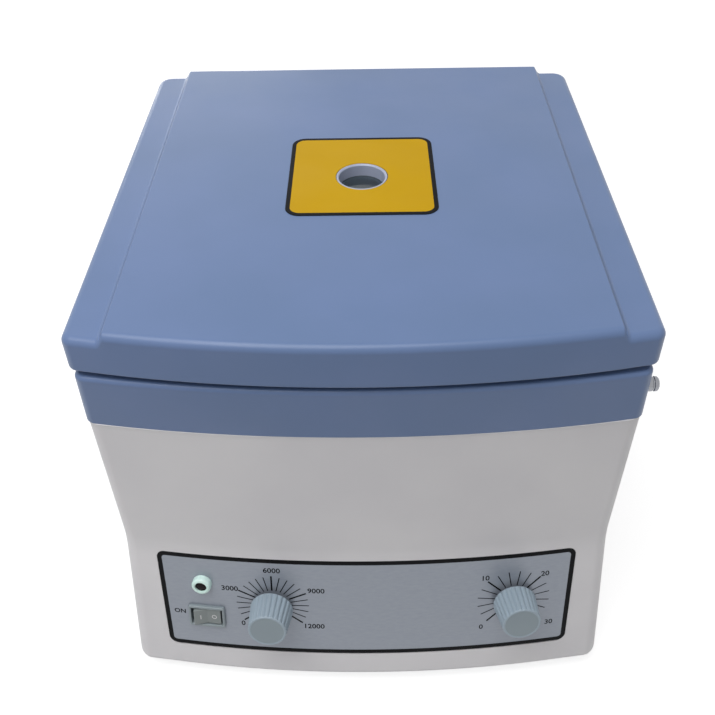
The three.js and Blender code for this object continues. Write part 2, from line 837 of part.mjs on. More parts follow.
// Layer along the sloping front, between two distances out from its face
function frontLayer(inner, outer, margin) {
  const reach = panelHalf + margin;
  const low = panelMiddle - panel.height / 2 - margin;
  const high = panelMiddle + panel.height / 2 + margin;
  const positions = [];
  for (let i = 0; i <= frontSteps; i += 1) {
    const x = reach * ((2 * i) / frontSteps - 1);
    positions.push(x, frontY(x, low, outer), low, x, frontY(x, low, inner), low);
    positions.push(x, frontY(x, high, inner), high, x, frontY(x, high, outer), high);
  }
  const index = [];
  for (let i = 0; i < frontSteps; i += 1) {
    for (let k = 0; k < 4; k += 1) {
      const here = 4 * i + k;
      const beside = 4 * i + ((k + 1) % 4);
      index.push(here, beside, beside + 4, here, beside + 4, here + 4);
    }
  }
  const end = 4 * frontSteps;
  index.push(0, 2, 1, 0, 3, 2, end, end + 1, end + 2, end, end + 2, end + 3);
  const geometry = new THREE.BufferGeometry();
  geometry.setAttribute('position', new THREE.Float32BufferAttribute(positions, 3));
  geometry.setIndex(index);
  return solidOf(geometry);
}

function panelOutline(margin) {
  const height = (panel.height + 2 * margin) * Math.cos(housing.slope);
  const shape = roundedRectangle(2 * (panelHalf + margin), height, panel.corner + margin);
  const near = -frontY(0, panelMiddle - panel.height, overrun) + overrun;
  const far = -frontY(panelHalf, panelMiddle + panel.height, -housing.wall) - overrun;
  return solidOf(prism(shape, far, near).rotateX(Math.PI / 2).translate(0, 0, panelMiddle));
}

const panelRecess = () =>
  frontLayer(-panel.recess, overrun, overrun).intersect(panelOutline(seat));

function makePanel() {
  const plate = frontLayer(panelProud - panel.thickness, panelProud, overrun).intersect(panelOutline(0));
  return cut(plate, ...controlHoles());
}

// Frame on the panel's face: x along the front, y up the slope, z straight out
function panelFrame({ x, v }) {
  const z = panelMiddle + v * Math.cos(housing.slope);
  const along = new THREE.Vector3(1, (2 * housing.bow * x) / housingHalf ** 2, 0).normalize();
  const up = new THREE.Vector3(0, Math.sin(housing.slope), Math.cos(housing.slope));
  const out = along.clone().cross(up).normalize();
  up.crossVectors(out, along);
  const frame = new THREE.Matrix4().makeBasis(along, up, out);
  return frame.setPosition(x, frontY(x, z, panelProud), z);
}

function panelGroup(spot) {
  const group = new THREE.Group();
  group.applyMatrix4(panelFrame(spot));
  root.add(group);
  return group;
}

// Inner face of the wall, seen from the panel's face
const insideFace = -(panelProud + housing.wall * Math.cos(housing.slope) + seat);

function controlHoles() {
  const deep = insideFace - overrun;
  const hole = (spot, geometry) => solidOf(geometry.applyMatrix4(panelFrame(spot)));
  const body = rockerBody(seat);
  return [
    hole(speedSpot, rod(knob.bushing + running, deep, overrun)),
    hole(timerSpot, rod(knob.bushing + running, deep, overrun)),
    hole(lampSpot, rod(lamp.stem + running, deep, overrun)),
    hole(rockerSpot, block(-body.x, body.x, -body.y, body.y, deep, overrun)),
  ];
}

function rockerBody(margin) {
  return {
    x: rocker.pocketWidth / 2 + rocker.wall + margin,
    y: rocker.pocketHeight / 2 + rocker.wall + margin,
  };
}

// Knobs: fluted and tapered, bored for the shaft, a little clear of the panel
function flutedRing(radius, z, flutes, depth) {
  const points = Array.from({ length: 2 * flutes }, (_, i) => {
    const angle = (i * Math.PI) / flutes;
    const reach = i % 2 === 0 ? radius : radius - depth;
    return new THREE.Vector2(reach * Math.cos(angle), reach * Math.sin(angle));
  });
  return { points, z };
}

function makeKnob() {
  const top = knob.height;
  const body = solidOf(loft([
    flutedRing(knob.base, knob.gap, knob.flutes, knob.fluteDepth),
    flutedRing(knob.face, top - knob.edge, knob.flutes, knob.fluteDepth),
    flutedRing(knob.face - knob.edge, top, knob.flutes, 0),
  ]));
  const bore = solidOf(rod(knob.shaft + seat, -overrun, knob.grip + seat));
  return cut(body, bore);
}

function addKnob(spot, name, body) {
  const group = panelGroup(spot);
  addPart(`${name}_knob`, makeKnob(), materials.knobPlastic, group);
  const shaftBottom = insideFace - body.depth / 2;
  addPart(`${name}_shaft`, solidOf(rod(knob.shaft, shaftBottom, knob.grip)), materials.steel, group);
  const fallAway = body.radius ** 2 / (2 * frontRadius);
  const top = insideFace - fallAway;
  const can = solidOf(rod(body.radius, top - body.depth, top, medium));
  const bushing = solidOf(rod(knob.bushing, top - body.depth / 2, -knob.gap));
  const bore = solidOf(rod(knob.shaft + seat, shaftBottom - seat, knob.gap));
  addPart(body.name, cut(join(can, bushing), bore), materials.steel, group);
}

function addRocker() {
  const group = panelGroup(rockerSpot);
  const flange = prism(
    roundedRectangle(rocker.flangeWidth, rocker.flangeHeight, rocker.flangeCorner),
    seat,
    seat + rocker.flange,
  );
  const half = rockerBody(0);
  const body = block(-half.x, half.x, -half.y, half.y, -rocker.bodyDepth, seat + rocker.flange / 2);
  const pocket = block(
    -rocker.pocketWidth / 2,
    rocker.pocketWidth / 2,
    -rocker.pocketHeight / 2,
    rocker.pocketHeight / 2,
    -rocker.pocketDepth,
    rocker.flange + overrun,
  );
  const frame = cut(join(solidOf(flange), solidOf(body)), solidOf(pocket));
  addPart('rocker_frame', frame, materials.switchPlastic, group);

  const end = rocker.length / 2;
  const face = rocker.flange + rocker.pivot; // heights from here on are above the pivot
  const outline = new THREE.Shape([
    new THREE.Vector2(-end, 0),
    new THREE.Vector2(-end / 2, -rocker.keel),
    new THREE.Vector2(end / 2, -rocker.keel),
    new THREE.Vector2(end, 0),
    new THREE.Vector2(end, face + rocker.rise),
    new THREE.Vector2(0, face + rocker.middleRise),
    new THREE.Vector2(-end, face + rocker.rise),
  ]);
  const width = rocker.pocketHeight - 2 * seat;
  const paddle = prism(outline, -width / 2, width / 2).rotateX(Math.PI / 2).rotateY(rocker.tilt);
  addPart('power_rocker', solidOf(paddle.translate(0, 0, -rocker.pivot)), materials.switchPlastic, group);
}

function addLamp() {
  const group = panelGroup(lampSpot);
  const bore = lamp.lens + seat;
  const lensTop = lamp.proud - lamp.sunk;
  addPart('lamp_holder', solidOf(turned([
    [bore, -lamp.stemDepth],
    [lamp.stem, -lamp.stemDepth],
    [lamp.stem, seat],
    [lamp.radius, seat],
    [lamp.radius, lamp.proud - lamp.edge],
    [lamp.radius - lamp.edge, lamp.proud],
    [bore, lamp.proud],
  ], medium)), materials.lampPlastic, group);
  addPart('lamp_lens', solidOf(rod(lamp.lens, -lamp.stemDepth / 2, lensTop)), materials.darkLens, group);
}

// Rotor: a turned plate with a rim, a channel for its rubber ring and one slot for each capillary
const channelOuter = rotor.radius - rotor.rimWall;
const channelInner = channelOuter - rotor.channelWidth;

function makeRotorDisc() {
  const rimTop = rotorTop + rotor.rim;
  const bore = shaft.radius + seat;
  const plate = solidOf(turned([
    [bore, rotorBottom],
    [rotor.radius, rotorBottom],
    [rotor.radius, rimTop],
    [channelOuter, rimTop],
    [channelOuter, rotorTop - rotor.channelDepth],
    [channelInner, rotorTop - rotor.channelDepth],
    [channelInner, rotorTop],
    [rotor.hub, rotorTop],
    [rotor.hub, rotorTop + rotor.hubRise],
    [bore, rotorTop + rotor.hubRise],
  ], fine));
  const end = channelInner + rotor.channelWidth / 2;
  const slots = Array.from({ length: rotor.slots }, (_, i) => {
    const slot = block(
      rotor.slotStart,
      end,
      -rotor.slotWidth / 2,
      rotor.slotWidth / 2,
      rotorTop - rotor.slotDepth,
      rotorTop + rotor.rim,
    );
    return solidOf(slot.rotateZ(((i + 1 / 2) * 2 * Math.PI) / rotor.slots));
  });
  return cut(plate, ...slots);
}

function makeRotorGasket() {
  const slack = seat / 2;
  const bottom = rotorTop - rotor.channelDepth + seat;
  return solidOf(ring(channelInner + slack, channelOuter - slack, bottom, rotorTop + rotor.rim / 2, fine));
}

function makeRotorCover() {
  const top = coverBottom + rotorCover.thickness;
  return solidOf(ring(shaft.radius + seat, rotor.radius - rotorCover.inset, coverBottom, top, fine));
}

function makeRotorNut() {
  const { radius, height, flutes, fluteDepth } = rotorNut;
  const body = solidOf(loft([
    flutedRing(radius, nutBottom, flutes, fluteDepth),
    flutedRing(radius, nutBottom + height - fluteDepth, flutes, fluteDepth),
    flutedRing(radius - fluteDepth, nutBottom + height, flutes, 0),
  ]));
  return cut(body, solidOf(rod(shaft.radius + seat, nutBottom - overrun, shaftTop + seat)));
}

// Motor, from the floor up: rubber mounts, plate, lower bell, can and upper bell
function makeShaft() {
  const collarTop = rotorBottom - seat;
  return join(
    solidOf(rod(shaft.radius, bellBottom + motor.bearingLip, shaftTop, coarse)),
    solidOf(rod(shaft.collar, collarTop - shaft.collarHeight, collarTop, medium)),
  );
}

// A bell is a cup; direction +1 opens upwards and -1 downwards
function makeBell(outerFace, direction) {
  const at = (height) => outerFace + direction * height;
  const hub = motor.bearing + seat + motor.wall;
  const bearingTop = motor.bearingLip + motor.bearingHeight + 2 * seat;
  return solidOf(turned([
    [shaft.radius + running + seat, at(0)],
    [motor.radius, at(0)],
    [motor.radius, at(motor.bellHeight)],
    [motor.radius - motor.wall, at(motor.bellHeight)],
    [motor.radius - motor.wall, at(motor.bellFloor)],
    [hub, at(motor.bellFloor)],
    [hub, at(bearingTop)],
    [motor.bearing + seat, at(bearingTop)],
    [motor.bearing + seat, at(motor.bearingLip)],
    [shaft.radius + running + seat, at(motor.bearingLip)],
  ], coarse));
}

function makeBearing(bottom) {
  return solidOf(ring(shaft.radius + seat, motor.bearing, bottom, bottom + motor.bearingHeight, coarse));
}

const fieldBottom = canBottom + field.lift;
const fieldTop = fieldBottom + field.height;
const fieldBore = motor.radius - motor.wall - seat - field.wall;
const commutatorTop = fieldTop + armature.coilHeight + armature.commutatorHeight;
const brushMiddle = commutatorTop - armature.commutatorHeight / 2;

function makeCan() {
  const tube = solidOf(ring(motor.radius - motor.wall, motor.radius, canBottom, canTop, coarse));
  const window = solidOf(block(
    -motor.radius - overrun,
    motor.radius + overrun,
    -brush.width / 2 - seat,
    brush.width / 2 + seat,
    brushMiddle - brush.height / 2 - seat,
    brushMiddle + brush.height / 2 + seat,
  ));
  return cut(tube, window);
}

function makeFieldRing() {
  return solidOf(ring(fieldBore, motor.radius - motor.wall - seat, fieldBottom, fieldTop, coarse));
}

function makeArmature() {
  const bore = shaft.radius + seat;
  const core = fieldBore - armature.gap;
  return solidOf(turned([
    [bore, fieldBottom - armature.coilHeight],
    [armature.coilRadius, fieldBottom - armature.coilHeight],
    [armature.coilRadius, fieldBottom],
    [core, fieldBottom],
    [core, fieldTop],
    [armature.coilRadius, fieldTop],
    [armature.coilRadius, fieldTop + armature.coilHeight],
    [armature.commutator, fieldTop + armature.coilHeight],
    [armature.commutator, commutatorTop],
    [bore, commutatorTop],
  ], coarse));
}

function makeBrush(side) {
  const near = side * (armature.commutator + brush.gap);
  const far = side * (motor.radius + brush.proud);
  return solidOf(block(
    Math.min(near, far),
    Math.max(near, far),
    -brush.width / 2,
    brush.width / 2,
    brushMiddle - brush.height / 2,
    brushMiddle + brush.height / 2,
  ));
}

function makeMotorPlate() {
  const plate = rod(motor.plateRadius, motorPlateBottom, motorPlateBottom + motor.plate, medium);
  const hole = rod(motor.plateHole, motorPlateBottom - overrun, motorPlateBottom + motor.plate + overrun);
  return cut(solidOf(plate), solidOf(hole));
}

function makeMount(index) {
  const angle = ((index + 1 / 4) / mount.count) * 2 * Math.PI;
  const bottom = plateTop + seat;
  const profile = [
    [0, bottom],
    [mount.radius, bottom],
    [mount.radius * mount.waistShare, bottom + mount.height / 2],
    [mount.radius, bottom + mount.height],
    [0, bottom + mount.height],
  ];
  const place = [mount.circle * Math.cos(angle), mount.circle * Math.sin(angle), 0];
  return solidOf(turned(profile, coarse).translate(...place));
}

// Base plate with screw holes and vent slots, and the feet under it
function makeBasePlate() {
  const inset = bottomInset + seat;
  const plate = solidOf(loft([housingRingAtFoot(inset, plateBottom), housingRingAtFoot(inset, plateTop)]));
  const holes = footSpots.map(({ x, y }) =>
    solidOf(rod(screw.shank + seat, plateBottom - overrun, plateTop + overrun, coarse, x, y)));
  const slots = [-1, 1].flatMap((side) => Array.from({ length: basePlate.slots }, (_, i) => {
    const y = (i - (basePlate.slots - 1) / 2) * basePlate.slotPitch;
    const x = side * (housingHalf - inset - basePlate.slotInset - basePlate.slotLength / 2);
    return solidOf(block(
      x - basePlate.slotLength / 2,
      x + basePlate.slotLength / 2,
      y - basePlate.slotWidth / 2,
      y + basePlate.slotWidth / 2,
      plateBottom - overrun,
      plateTop + overrun,
    ));
  }));
  return cut(plate, ...holes, ...slots);
}

// The plate's outline stays the same through its thickness
function housingRingAtFoot(inset, z) {
  return { points: housingRing(inset, plateTop).points, z };
}

function makeFoot({ x, y }) {
  const bottomRadius = foot.radius * foot.taperShare;
  const bore = screw.shank + seat;
  const profile = [
    [foot.counterbore, 0],
    [bottomRadius, 0],
    [foot.radius, foot.height],
    [bore, foot.height],
    [bore, headBottom],
    [foot.counterbore, headBottom],
  ];
  return solidOf(turned(profile, coarse).translate(x, y, 0));
}

function makeScrew({ x, y }) {
  const top = headBottom - seat;
  return join(
    solidOf(rod(screw.head, top - screw.headHeight, top, coarse, x, y)),
    solidOf(rod(screw.shank, top - screw.headHeight / 2, screwTop, coarse, x, y)),
  );
}

function makeBoard() {
  const { width, length, thickness } = board;
  const x = housing.wall - housingHalf + board.fromSide + width / 2;
  const y = housingBack - housing.wall - board.fromBack - length / 2;
  const bottom = plateTop + seat;
  const top = bottom + board.postHeight;
  const left = x - width / 2;
  const right = x + width / 2;
  const front = y - length / 2;
  const back = y + length / 2;
  const posts = [left + board.postInset, right - board.postInset].flatMap((px) =>
    [front + board.postInset, back - board.postInset].map((py) =>
      solidOf(rod(board.post, bottom, top + thickness / 2, coarse, px, py))));
  const sinkLeft = left + boardParts.inset;
  const sinkFront = y - boardParts.sinkLength / 2;
  const sink = solidOf(block(
    sinkLeft,
    sinkLeft + boardParts.sinkWidth,
    sinkFront,
    sinkFront + boardParts.sinkLength,
    top + thickness / 2,
    top + thickness + boardParts.sinkHeight,
  ));
  const capX = right - boardParts.inset - boardParts.capRadius;
  const capTop = top + thickness + boardParts.capHeight;
  const capacitor = solidOf(rod(boardParts.capRadius, top + thickness / 2, capTop, coarse, capX, y));
  const plate = solidOf(block(left, right, front, back, top, top + thickness));
  return join(plate, ...posts, sink, capacitor);
}

// Power inlet: flange on the rear wall, socket with three blades, and the fuse drawer's slot
const inletX = inlet.fromLeft - housingHalf;
const inletFace = housingBack + seat + inlet.flange;
const socketZ = inlet.z + (fuseDrawer.height + fuseDrawer.gap) / 2;
const drawerZ = inlet.z - (inlet.socketHeight + fuseDrawer.gap) / 2;

function uprightPrism(shape, front, back, z) {
  return prism(shape, -back, -front).rotateX(Math.PI / 2).translate(inletX, 0, z);
}

function inletHole() {
  const shape = roundedRectangle(inlet.bodyWidth + 2 * seat, inlet.bodyHeight + 2 * seat, inlet.corner);
  return solidOf(uprightPrism(shape, housingBack - housing.wall - overrun, housingBack + overrun, inlet.z));
}

function makeInlet() {
  const flange = roundedRectangle(inlet.width, inlet.height, inlet.corner);
  const body = roundedRectangle(inlet.bodyWidth, inlet.bodyHeight, inlet.corner);
  const socket = roundedRectangle(inlet.socketWidth, inlet.socketHeight, inlet.socketCorner);
  const outside = join(
    solidOf(uprightPrism(flange, housingBack + seat, inletFace, inlet.z)),
    solidOf(uprightPrism(body, inletFace - inlet.bodyDepth, inletFace - inlet.flange / 2, inlet.z)),
  );
  const pocket = solidOf(uprightPrism(socket, inletFace - inlet.socketDepth, inletFace + overrun, socketZ));
  const slot = solidOf(block(
    inletX - fuseDrawer.width / 2 - seat,
    inletX + fuseDrawer.width / 2 + seat,
    inletFace - fuseDrawer.depth - seat,
    inletFace + overrun,
    drawerZ - fuseDrawer.height / 2 - seat,
    drawerZ + fuseDrawer.height / 2 + seat,
  ));
  const blades = [-1, 0, 1].map((place) => {
    const x = inletX + place * inlet.bladePitch;
    const z = socketZ + (place === 0 ? 1 : -1) * inlet.bladeDrop;
    return solidOf(block(
      x - inlet.bladeWidth / 2,
      x + inlet.bladeWidth / 2,
      inletFace - inlet.socketDepth - inlet.flange,
      inletFace - inlet.socketDepth + inlet.bladeLength,
      z - inlet.bladeHeight / 2,
      z + inlet.bladeHeight / 2,
    ));
  });
  return join(cut(outside, pocket, slot), ...blades);
}

function makeFuseDrawer() {
  const tray = block(
    inletX - fuseDrawer.width / 2,
    inletX + fuseDrawer.width / 2,
    inletFace - fuseDrawer.depth,
    inletFace,
    drawerZ - fuseDrawer.height / 2,
    drawerZ + fuseDrawer.height / 2,
  );
  const pull = block(
    inletX - fuseDrawer.pullWidth / 2,
    inletX + fuseDrawer.pullWidth / 2,
    inletFace - fuseDrawer.lip,
    inletFace + fuseDrawer.lip,
    drawerZ - fuseDrawer.pullHeight / 2,
    drawerZ + fuseDrawer.pullHeight / 2,
  );
  return join(solidOf(tray), solidOf(pull));
}

addPart('lid_shell', makeLidShell(), materials.blueAbs);
addPart('lid_liner', makeLiner(), materials.linerAbs);
addPart('window_sleeve', makeWindowSleeve(), materials.linerAbs);
const glass = rod(windowHole.radius - seat, glassBottom, glassTop, medium);
addPart('window_glass', solidOf(glass), materials.clearPlate);
addPart('lid_label', makeLabel(), materials.yellowPlate);
addPart('lid_keeper', makeKeeper(), materials.steel);
for (const [name, side] of [['left', -1], ['right', 1]]) {
  const x = side * (halfWidth - hinge.inset);
  addPart(`lid_hinge_${name}`, makeHingeLeaf(x, 1, lidBack), materials.chrome);
  addPart(`body_hinge_${name}`, makeHingeLeaf(x, -1, lidBack - deck.inset), materials.chrome);
  const pin = rodAlongX(hinge.pin, x - hinge.width / 2, x + hinge.width / 2, hingeY, hingeZ);
  addPart(`hinge_pin_${name}`, solidOf(pin), materials.chrome);
}
addPart('top_deck', makeDeck(), materials.blueAbs);
addPart('lock_pin', makeLockPin(), materials.chrome);
addPart('lock_bush', makeLockBush(), materials.blackPlastic);
addPart('chamber_bowl', makeBowl(), materials.steel);
addPart('chamber_gasket', makeGasket(), materials.blackRubber);
addPart('housing', makeHousing(), materials.whiteAbs);
addPart('control_panel', makePanel(), materials.panelFoil);
addKnob(speedSpot, 'speed', { name: 'speed_control', ...speedControl });
addKnob(timerSpot, 'timer', { name: 'timer_movement', ...timerMovement });
addRocker();
addLamp();
addPart('rotor_disc', makeRotorDisc(), materials.aluminium);
addPart('rotor_gasket', makeRotorGasket(), materials.blackRubber);
addPart('rotor_cover', makeRotorCover(), materials.aluminium);
addPart('rotor_nut', makeRotorNut(), materials.aluminium);
addPart('motor_shaft', makeShaft(), materials.steel);
addPart('armature', makeArmature(), materials.copper);
addPart('lower_end_bell', makeBell(bellBottom, 1), materials.aluminium);
addPart('upper_end_bell', makeBell(upperBellTop, -1), materials.aluminium);
addPart('lower_bearing', makeBearing(bellBottom + motor.bearingLip + seat), materials.steel);
const upperBearing = upperBellTop - motor.bearingLip - seat - motor.bearingHeight;
addPart('upper_bearing', makeBearing(upperBearing), materials.steel);
addPart('motor_can', makeCan(), materials.steel);
addPart('field_ring', makeFieldRing(), materials.steel);
addPart('brush_left', makeBrush(-1), materials.blackPlastic);
addPart('brush_right', makeBrush(1), materials.blackPlastic);
addPart('motor_plate', makeMotorPlate(), materials.steel);
for (let i = 0; i < mount.count; i += 1) {
  addPart(`rubber_mount_${i + 1}`, makeMount(i), materials.blackRubber);
}
addPart('base_plate', makeBasePlate(), materials.steel);
for (const spot of footSpots) {
  addPart(`foot_${spot.name}`, makeFoot(spot), materials.blackRubber);
  addPart(`foot_screw_${spot.name}`, makeScrew(spot), materials.steel);
}
addPart('control_board', makeBoard(), materials.boardResin);
addPart('power_inlet', makeInlet(), materials.blackPlastic);
addPart('fuse_drawer', makeFuseDrawer(), materials.blackPlastic);

// The origin is under the middle of the whole depth, from the front knob's tip to the hinge knuckles
function knobTip(spot) {
  const rim = new THREE.Vector3(0, -knob.face, knob.height);
  return rim.applyMatrix4(panelFrame(spot)).y;
}
const frontMost = Math.min(baseFront - housing.bow, knobTip(speedSpot), knobTip(timerSpot));
const backMost = hingeY + hinge.knuckle;
root.position.y = -(frontMost + backMost) / 2;

export default root;
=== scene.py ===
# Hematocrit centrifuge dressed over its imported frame. Values in the dictionaries are millimetres and degrees.
import math
import bmesh
import bpy
from mathutils import Matrix, Vector


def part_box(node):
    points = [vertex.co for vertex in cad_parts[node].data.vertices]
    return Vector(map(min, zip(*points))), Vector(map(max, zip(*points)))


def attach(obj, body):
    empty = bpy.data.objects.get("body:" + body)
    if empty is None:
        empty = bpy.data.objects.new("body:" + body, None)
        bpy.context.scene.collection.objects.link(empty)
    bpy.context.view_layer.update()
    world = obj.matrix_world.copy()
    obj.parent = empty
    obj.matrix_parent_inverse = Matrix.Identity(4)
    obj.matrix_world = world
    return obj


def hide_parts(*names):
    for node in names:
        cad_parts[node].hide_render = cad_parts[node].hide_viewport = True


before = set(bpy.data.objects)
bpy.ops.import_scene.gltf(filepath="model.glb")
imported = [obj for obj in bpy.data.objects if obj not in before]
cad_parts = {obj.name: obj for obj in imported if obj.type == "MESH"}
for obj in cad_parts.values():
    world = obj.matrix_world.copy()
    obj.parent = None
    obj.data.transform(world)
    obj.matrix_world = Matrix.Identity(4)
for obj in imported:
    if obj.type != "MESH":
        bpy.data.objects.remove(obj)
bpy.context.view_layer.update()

mm = 0.001


# Working by hand, in code

def atRest():
    if bpy.context.mode != "OBJECT":
        bpy.ops.object.mode_set(mode="OBJECT")
    bpy.ops.object.select_all(action="DESELECT")


def only(*objects):
    atRest()
    for obj in objects:
        obj.select_set(True)
    bpy.context.view_layer.objects.active = objects[0]


def settle(obj, place=None):  # puts the place, turn and size of an object into its mesh
    only(obj)
    if place is not None:
        obj.matrix_world = place @ obj.matrix_world
    bpy.ops.object.transform_apply(location=True, rotation=True, scale=True)
    return obj


def named(name):
    obj = bpy.context.active_object
    obj.name = name
    return obj


def block(name, low, high, place=None):
    atRest()
    bpy.ops.mesh.primitive_cube_add(size=1, location=[(a + b) / 2 * mm for a, b in zip(low, high)])
    obj = named(name)
    obj.scale = [(b - a) * mm for a, b in zip(low, high)]
    return settle(settle(obj), place)


def rod(name, radius, bottom, top, sides=64, place=None):
    atRest()
    bpy.ops.mesh.primitive_cylinder_add(vertices=sides, radius=radius * mm, depth=(top - bottom) * mm,
                                        location=(0, 0, (top + bottom) / 2 * mm))
    return settle(settle(named(name)), place)


def sheet(name, centre, wide, deep, rotation=(0, 0, 0)):  # one flat face
    atRest()
    bpy.ops.mesh.primitive_plane_add(size=1, location=[c * mm for c in centre], rotation=rotation)
    obj = named(name)
    obj.scale = (wide * mm, deep * mm, 1)
    return settle(obj)


def shape(obj):
    only(obj)
    bpy.ops.object.mode_set(mode="EDIT")
    bpy.ops.mesh.select_mode(type="VERT")
    bpy.ops.mesh.select_all(action="DESELECT")


def pick(obj, kind, test):  # selects by place in mm, and by direction or normal
    bpy.ops.mesh.select_mode(type=kind)
    bpy.ops.mesh.select_all(action="DESELECT")
    mesh = bmesh.from_edit_mesh(obj.data)
    if kind == "VERT":
        found = [v for v in mesh.verts if test(v.co / mm)]
    elif kind == "EDGE":
        ends = [(e, e.verts[0].co, e.verts[1].co) for e in mesh.edges]
        found = [e for e, a, b in ends if test((a + b) / 2 / mm, (b - a).normalized())]
    else:
        found = [f for f in mesh.faces if test(f.calc_center_median() / mm, f.normal)]
    for item in found:
        item.select_set(True)
    mesh.select_flush_mode()
    bmesh.update_edit_mesh(obj.data)


def pickAll():
    bpy.ops.mesh.select_all(action="SELECT")


def move(x=0, y=0, z=0):
    bpy.ops.transform.translate(value=(x * mm, y * mm, z * mm))


def extrude(x=0, y=0, z=0):
    bpy.ops.mesh.extrude_region_move(TRANSFORM_OT_translate={"value": (x * mm, y * mm, z * mm)})


def bevel(width, segments=3, affect="EDGES"):
    bpy.ops.mesh.bevel(offset=width * mm, segments=segments, affect=affect)


def inset(width):
    bpy.ops.mesh.inset(thickness=width * mm, depth=0)


def resize(x, y, centre=(0, 0, 0)):
    bpy.ops.transform.resize(value=(x, y, 1), center_override=[c * mm for c in centre])


def facing(axis, sign, test=lambda mid: True):  # a test for faces that look along an axis
    return lambda mid, normal: normal[axis] * sign > 0.99 and test(mid)


def roundRim(obj, test, width, segments):  # rounds the outline of the faces that pass the test
    pick(obj, "FACE", test)
    bpy.ops.mesh.region_to_loop()
    bevel(width, segments)


def roundEdges(obj, axis, width, segments, test=lambda mid: True):
    # rounds the edges that run along axis 0, 1 or 2 and whose middle passes the test
    pick(obj, "EDGE", lambda mid, along: abs(along[axis]) > 0.9 and test(mid))
    bevel(width, segments)


def bisect(axis, at):
    pickAll()
    point, normal = Vector(), Vector()
    point[axis], normal[axis] = at * mm, 1
    bpy.ops.mesh.bisect(plane_co=point, plane_no=normal)


def mergeClose(gap=0.002):
    pickAll()
    bpy.ops.mesh.remove_doubles(threshold=gap * mm)


def closeUp():  # merges seams and poles, and points the faces outwards
    mergeClose()
    bpy.ops.mesh.normals_make_consistent(inside=False)


def paint(index):  # gives the selected faces a material slot
    bpy.context.object.active_material_index = index
    bpy.ops.object.material_slot_assign()


def modify(obj, kind, **settings):
    only(obj)
    modifier = obj.modifiers.new(kind, kind)
    for name, value in settings.items():
        setattr(modifier, name, value)
    bpy.ops.object.modifier_apply(modifier=modifier.name)


def remove(*objects):
    only(*objects)
    bpy.ops.object.delete()


def combine(obj, operation, *tools):
    for tool in tools:
        modify(obj, "BOOLEAN", operation=operation, solver="EXACT", object=tool)
        remove(tool)


def cut(obj, *tools):
    combine(obj, "DIFFERENCE", *tools)


def layOn(obj, target, offset):  # pushes a flat sheet that lies in front of the panel's face back onto it
    modify(obj, "SHRINKWRAP", target=target, wrap_method="PROJECT", use_project_y=True, use_project_x=False,
           use_project_z=False, use_positive_direction=True, use_negative_direction=False, offset=offset * mm)


def weld(obj, *others):
    only(obj, *others)
    bpy.ops.object.join()
    return obj


def copyOf(obj, name, place=None):
    only(obj)
    bpy.ops.object.duplicate()
    return settle(named(name), place)


def turned(name, profile, rounds=(), sides=96, place=None):
    # a profile of (radius, height) points spun about z; rounds are (corner numbers, radius, segments)
    atRest()
    bpy.ops.mesh.primitive_plane_add(size=mm)
    obj = named(name)
    shape(obj)
    pickAll()
    bpy.ops.mesh.merge(type="CENTER")
    pickAll()
    move(profile[0][0], 0, profile[0][1])
    for (r0, z0), (r1, z1) in zip(profile, profile[1:]):
        bpy.ops.mesh.extrude_vertices_move(
            TRANSFORM_OT_translate={"value": ((r1 - r0) * mm, 0, (z1 - z0) * mm)})
    mergeClose()
    for corners, radius, segments in rounds:
        spots = [profile[i] for i in corners]
        pick(obj, "VERT", lambda co: any(abs(co.x - r) < 0.01 and abs(co.z - z) < 0.01 for r, z in spots))
        bevel(radius, segments, "VERTICES")
    pickAll()
    bpy.ops.mesh.spin(steps=sides, angle=2 * math.pi, center=(0, 0, 0), axis=(0, 0, 1))
    closeUp()
    return settle(settle(obj), place)


def ring(inner, outer, low, high):  # closed profile of a square ring
    return [(inner, low), (outer, low), (outer, high), (inner, high), (inner, low)]


def coat(obj, *finishes):  # fills the material slots in order
    obj.data.materials.clear()
    for finish in finishes:
        obj.data.materials.append(materials[finish])


def finishPiece(obj, body, finish, stands=(), angle=35):
    # smooths the piece and hands it over: its body, its material slot and the nodes it stands for
    only(obj)
    if finish:
        coat(obj, finish)
    bpy.ops.object.shade_smooth_by_angle(angle=math.radians(angle))
    modify(obj, "WEIGHTED_NORMAL", keep_sharp=True)
    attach(obj, body)
    if stands:
        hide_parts(*stands)


def boxOf(node):
    return [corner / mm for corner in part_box(node)]


def centreOf(node):
    return [(a + b) / 2 for a, b in zip(*boxOf(node))]


def shift(x=0, y=0, z=0):
    return Matrix.Translation((x * mm, y * mm, z * mm))


zToX = Matrix.Rotation(math.pi / 2, 4, "Y")
leftRight = (("Left", -1), ("Right", 1))
windowY = centreOf("rotor_disc")[1]
rotorAxis = shift(0, windowY)
pinAxis = shift(0, *centreOf("lock_pin")[1:]) @ zToX


# Camera, lamps and floor

cameraSettings = {
    "lens": 45.063, "sensor": 36.0,
    "place": (3.174, -437.468, 515.568),
    "pitch": 0.72157, "yaw": -0.01757, "roll": 0.02154,  # radians, from a fit to the photograph
    "clip": (0.01, 100),  # metres
}


def makeCamera():
    values = cameraSettings
    pitch, yaw, roll = values["pitch"], values["yaw"], values["roll"]
    forward = Vector((math.sin(yaw) * math.cos(pitch), math.cos(yaw) * math.cos(pitch), -math.sin(pitch)))
    right = Vector((math.cos(yaw), -math.sin(yaw), 0))
    down = forward.cross(right)
    across = right * math.cos(roll) + down * math.sin(roll)
    below = down * math.cos(roll) - right * math.sin(roll)
    turn = Matrix((across, -below, -forward)).transposed().to_4x4()
    atRest()
    bpy.ops.object.camera_add()
    camera = named("photoCamera")
    camera.matrix_world = shift(*values["place"]) @ turn
    camera.data.sensor_width = values["sensor"]
    camera.data.lens = values["lens"]
    camera.data.clip_start, camera.data.clip_end = values["clip"]
    bpy.context.scene.camera = camera


